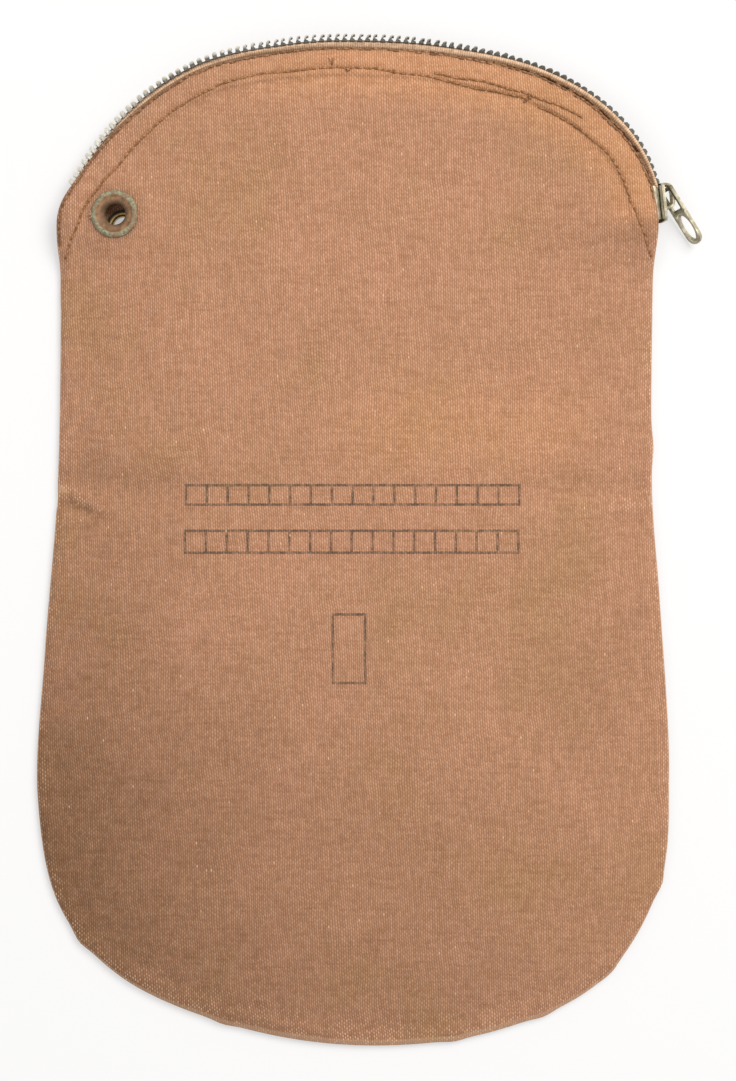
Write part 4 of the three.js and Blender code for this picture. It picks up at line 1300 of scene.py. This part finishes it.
def add_grommet(name, node, base, axis):
    """A profile turned about the axis: radius and height from the base at each step round, with slow lobes
    and small dents in the rolled rim."""
    profile = through(GROMMET_PROFILE, 3, closed=True)
    radius, height = profile[:, 0], profile[:, 1]
    angle = np.linspace(0.0, 2.0 * np.pi, GROMMET_SIDES, endpoint=False)[:, None]
    rim = smoothstep(radius, 5.2, 6.6)[None] * smoothstep(height, 0.1, 0.9)[None]
    lobes = 0.07 * np.sin(RIM_LOBES * angle + 0.8 * np.sin(2.0 * angle)) + 0.04 * np.sin(5.0 * angle + 1.0)
    round_radius = radius[None] + rim * lobes
    round_height = height[None] + rim * 0.6 * lobes
    side = unit(np.cross(axis, [0.0, 1.0, 0.0]))
    beside = (round_radius * np.cos(angle))[..., None] * side
    beyond = (round_radius * np.sin(angle))[..., None] * np.cross(axis, side)
    points = base + beside + beyond + round_height[..., None] * axis
    barrel = hump(radius, 3.42, 0.12) * falling(height, -0.8, -0.2)
    flare = hump(radius, 4.3, 0.22) * falling(height, -1.5, -1.0)
    shares = {
        "crust": smoothstep(radius, 5.5, 6.4) * smoothstep(height, -0.4, 0.4),
        "bare": np.clip(barrel + flare, 0.0, 1.0),
        # Darker towards the hole and below the rim: tarnish and painted shade
        "tarnish_and_shade": np.maximum(0.6 * falling(radius, 3.7, 5.4), falling(height, -0.3, 0.45)),
    }
    stored = {key: np.tile(values, GROMMET_SIDES) for key, values in shares.items()}
    add_piece(name, closed_band(points), grommet_patina, node, stored=stored)


add_grommet("grommet_upper", "grommet_front", GROMMET_BASE, flange_axis)
add_grommet("grommet_lower", "grommet_back", np.array([*GROMMET_BACK, GROMMET_BACK_RISE]), -UP)


# Sewing: rows of stitches, knots and loose threads

STITCH_LENGTH = 3.3
STITCH_PITCH = 2.95
EDGE_PITCH = 2.3
EDGE_LENGTH = 2.4
THREAD_RADIUS = 0.4
BACK_RADIUS = THREAD_RADIUS * 0.68
THREAD_SIDES = 6

# Random changes in place, distance in, length and tilt of each stitch
PLACE_STRAY = 0.12
ROW_STRAY = 0.08
LENGTH_STRAY = 0.08
TILT_STRAY = 0.04


def on_wall(along, inset, faces_of, outer):
    """Points of a wall at places along the edge and in from it; outer tells which of its faces looks out."""
    along, inset = np.asarray(along, float), np.asarray(inset, float)
    point, _, out = edge_at(along)
    xy = point - np.asarray(inset - corner_bulge(along))[..., None] * out
    height = faces_of(xy, inset, along)[outer]
    return np.concatenate([xy, height[..., None]], axis=-1)


def on_front(along, inset):
    """Points on the front wall's outer face."""
    return on_wall(along, inset, front_faces, 0)


def on_back(along, inset):
    """Points on the back wall's outer face, which looks down."""
    return on_wall(along, inset, back_faces, 1)


def stitch_form():
    """One stitch along x, from -0.5 to 0.5: rings whose radius falls and whose middle dips at both ends."""
    x = np.array([-0.5, -0.36, 0.0, 0.36, 0.5])
    radius = np.array([0.45, 0.95, 1.0, 0.95, 0.45])
    dip = np.array([-0.9, -0.15, 0.12, -0.15, -0.9])
    circle = radius[:, None, None] * ring(THREAD_SIDES)
    points = np.dstack([np.repeat(x[:, None], THREAD_SIDES, axis=1), circle])
    points[..., 2] += dip[:, None]
    return points.reshape(-1, 3), capped_faces(len(x), THREAD_SIDES)


def stitch_row(rows, pitch, length, lift, radius, surface, facing, stray=ROW_STRAY):
    """Stitches at the pitch along a row: each lies between two points of the surface, half its length
    before and after its place, lifted off the cloth, with small random changes in place, length and tilt."""
    table = np.array(rows)

    def row_inset(places):
        return np.interp(places, table[:, 0], table[:, 1])

    along = np.arange(table[0, 0] + pitch / 2, table[-1, 0], pitch)
    along = along + PLACE_STRAY * rng.standard_normal(len(along))
    inset = row_inset(along) + stray * rng.standard_normal(len(along))
    reach = length / 2 * (1.0 + LENGTH_STRAY * rng.standard_normal(len(along)))
    slope = row_inset(along + 1.0) - row_inset(along - 1.0)
    tilt = 0.5 * slope + TILT_STRAY * rng.standard_normal(len(along))
    start = surface(along - reach, inset - tilt * reach)
    end = surface(along + reach, inset + tilt * reach)
    normal = np.tile(facing * UP, (len(along), 1))
    first = end - start
    side = unit(np.cross(normal, first))
    third = unit(np.cross(first, side))
    points, faces = stitch_form()
    return repeated(points, faces, (start + end) / 2 + lift * normal, first, radius * side, radius * third)


def tuft(at, direction, length, count, spread, radius):
    """Short frayed ends that fan out from one place, each a little curled."""
    angle = np.arctan2(direction[1], direction[0]) + spread * rng.standard_normal(count)
    reach = length * (0.6 + 0.5 * rng.random(count))
    curl = 0.5 * rng.standard_normal(count)
    lift = 0.3 + 0.5 * rng.random(count)
    forms = []
    for turn, long, bend, up in zip(angle, reach, curl, lift):
        t = np.linspace(0.0, 1.0, 7)
        heading = turn + bend * t
        path = np.column_stack([
            at[0] + long * t * np.cos(heading),
            at[1] + long * t * np.sin(heading),
            at[2] + up * np.sin(np.pi * t) * 0.8,
        ])
        forms.append(thread_path(path, radius, 5))
    return joined(forms)


front_rows = [
    stitch_row(SECOND_ROW, STITCH_PITCH, STITCH_LENGTH, 0.05, THREAD_RADIUS, on_front, 1.0),
    stitch_row(RESTART_ROW, STITCH_PITCH, STITCH_LENGTH, 0.05, THREAD_RADIUS, on_front, 1.0),
    stitch_row(REPAIR_ROW, STITCH_PITCH, STITCH_LENGTH, 0.08, THREAD_RADIUS * 0.9, on_front, 1.0),
]
edge_rows = [
    stitch_row(EDGE_ROW, EDGE_PITCH, EDGE_LENGTH, 0.1, THREAD_RADIUS, on_front, 1.0, stray=0.2),
    stitch_row(WRAP_ROW, EDGE_PITCH, EDGE_LENGTH, -0.3, THREAD_RADIUS, on_front, 1.0, stray=0.25),
]
back_rows = [
    stitch_row(SECOND_ROW, STITCH_PITCH, STITCH_LENGTH, 0.03, BACK_RADIUS, on_back, -1.0),
    stitch_row(RESTART_ROW, STITCH_PITCH, STITCH_LENGTH, 0.03, BACK_RADIUS, on_back, -1.0),
    stitch_row(EDGE_ROW, EDGE_PITCH, EDGE_LENGTH, 0.03, BACK_RADIUS, on_back, -1.0),
]
add_piece("stitches_front", joined(front_rows), brown_thread)
add_piece("stitches_edge", joined(edge_rows), dark_edge_thread)
add_piece("stitches_back", joined(back_rows), brown_thread)

# Thread knots, and one loose end: place along the edge and distance in from it
KNOTS = [(63.0, 7.0), (62.2, 7.8), (63.6, 8.6), (124.0, 6.9), (109.0, 7.1)]
LOOSE_END = (129.0, 5.5)
knot_forms = [
    tuft(on_front(*knot) + 0.15 * UP, (1.0, -0.2), length=0.8, count=5, spread=1.6, radius=0.3)
    for knot in KNOTS
]
loose_root = on_front(*LOOSE_END) + 0.2 * UP
knot_forms.append(tuft(loose_root, (-0.2, 1.0), length=2.6, count=2, spread=0.4, radius=0.16))
add_piece("knots", joined(knot_forms), brown_thread)

fray_at = GROMMET_BASE + np.array([-7.6, -0.6, 0.3])
fray_forms = []
for k in range(3):
    root = fray_at + np.array([0.2 * k, 1.6 - 0.9 * k, 0.1])
    fray_forms.append(tuft(root, (-1.0, 0.15 * k - 0.2), length=1.5, count=2, spread=0.6, radius=0.09))
add_piece("frayed_threads", joined(fray_forms), pale_thread)


# Floor, light and camera: straight down on the bag, the light from the upper right

PHOTO_MIDDLE = placed(0.0, 0.0)
VIEW_HEIGHT = 700.0
VIEW_LEVEL = 5.0
VIEW_TALL = 348.1
FLOOR_HALF = 3000.0
FLOOR_LEVEL = -0.2

floor_finish = Finish("pale_floor", roughness=0.9)
floor_finish.put("Base Color", (0.42, 0.42, 0.42, 1.0))
floor_finish.put("Emission Color", (1.0, 0.995, 1.0, 1.0))
floor_finish.put("Emission Strength", 0.45)
floor_finish.put("Specular IOR Level", 0.1)
floor_mesh = bpy.data.meshes.new("floor")
floor_corners = FLOOR_HALF * np.array([(-1.0, -1.0), (1.0, -1.0), (1.0, 1.0), (-1.0, 1.0)])
floor_points = np.column_stack([floor_corners, np.full(4, FLOOR_LEVEL)]) * MM
floor_mesh.from_pydata(floor_points, [], [(0, 1, 2, 3)])
floor_mesh.materials.append(floor_finish.material)
floor = bpy.data.objects.new("floor", floor_mesh)
bpy.context.scene.collection.objects.link(floor)


def area_light(name, at, size, power, colour):
    """A square soft light at a place in metres, facing the middle of the bag."""
    lamp = bpy.data.lights.new(name, "AREA")
    lamp.size = size
    lamp.energy = power
    lamp.color = colour
    holder = bpy.data.objects.new(name, lamp)
    holder.location = at
    holder.rotation_euler = (-holder.location).to_track_quat("-Z", "Y").to_euler()
    bpy.context.scene.collection.objects.link(holder)


area_light("key_light", (0.75, 0.85, 1.35), 1.0, 28.0, (1.0, 0.98, 0.95))
area_light("fill_light", (-0.7, -0.2, 1.2), 1.2, 4.0, (0.97, 0.98, 1.0))

scene = bpy.context.scene
world = bpy.data.worlds.new("studio")
world.use_nodes = True
world.node_tree.nodes["Background"].inputs["Color"].default_value = (1.0, 0.995, 0.985, 1.0)
world.node_tree.nodes["Background"].inputs["Strength"].default_value = 0.55
scene.world = world
scene.view_settings.view_transform = "Standard"

camera = bpy.data.cameras.new("camera")
camera.sensor_fit = "VERTICAL"
camera.angle = 2.0 * np.arctan(VIEW_TALL / 2 / VIEW_HEIGHT)
viewer = bpy.data.objects.new("camera", camera)
viewer.location = (PHOTO_MIDDLE[0] * MM, PHOTO_MIDDLE[1] * MM, (VIEW_HEIGHT + VIEW_LEVEL) * MM)
scene.collection.objects.link(viewer)
scene.camera = viewer
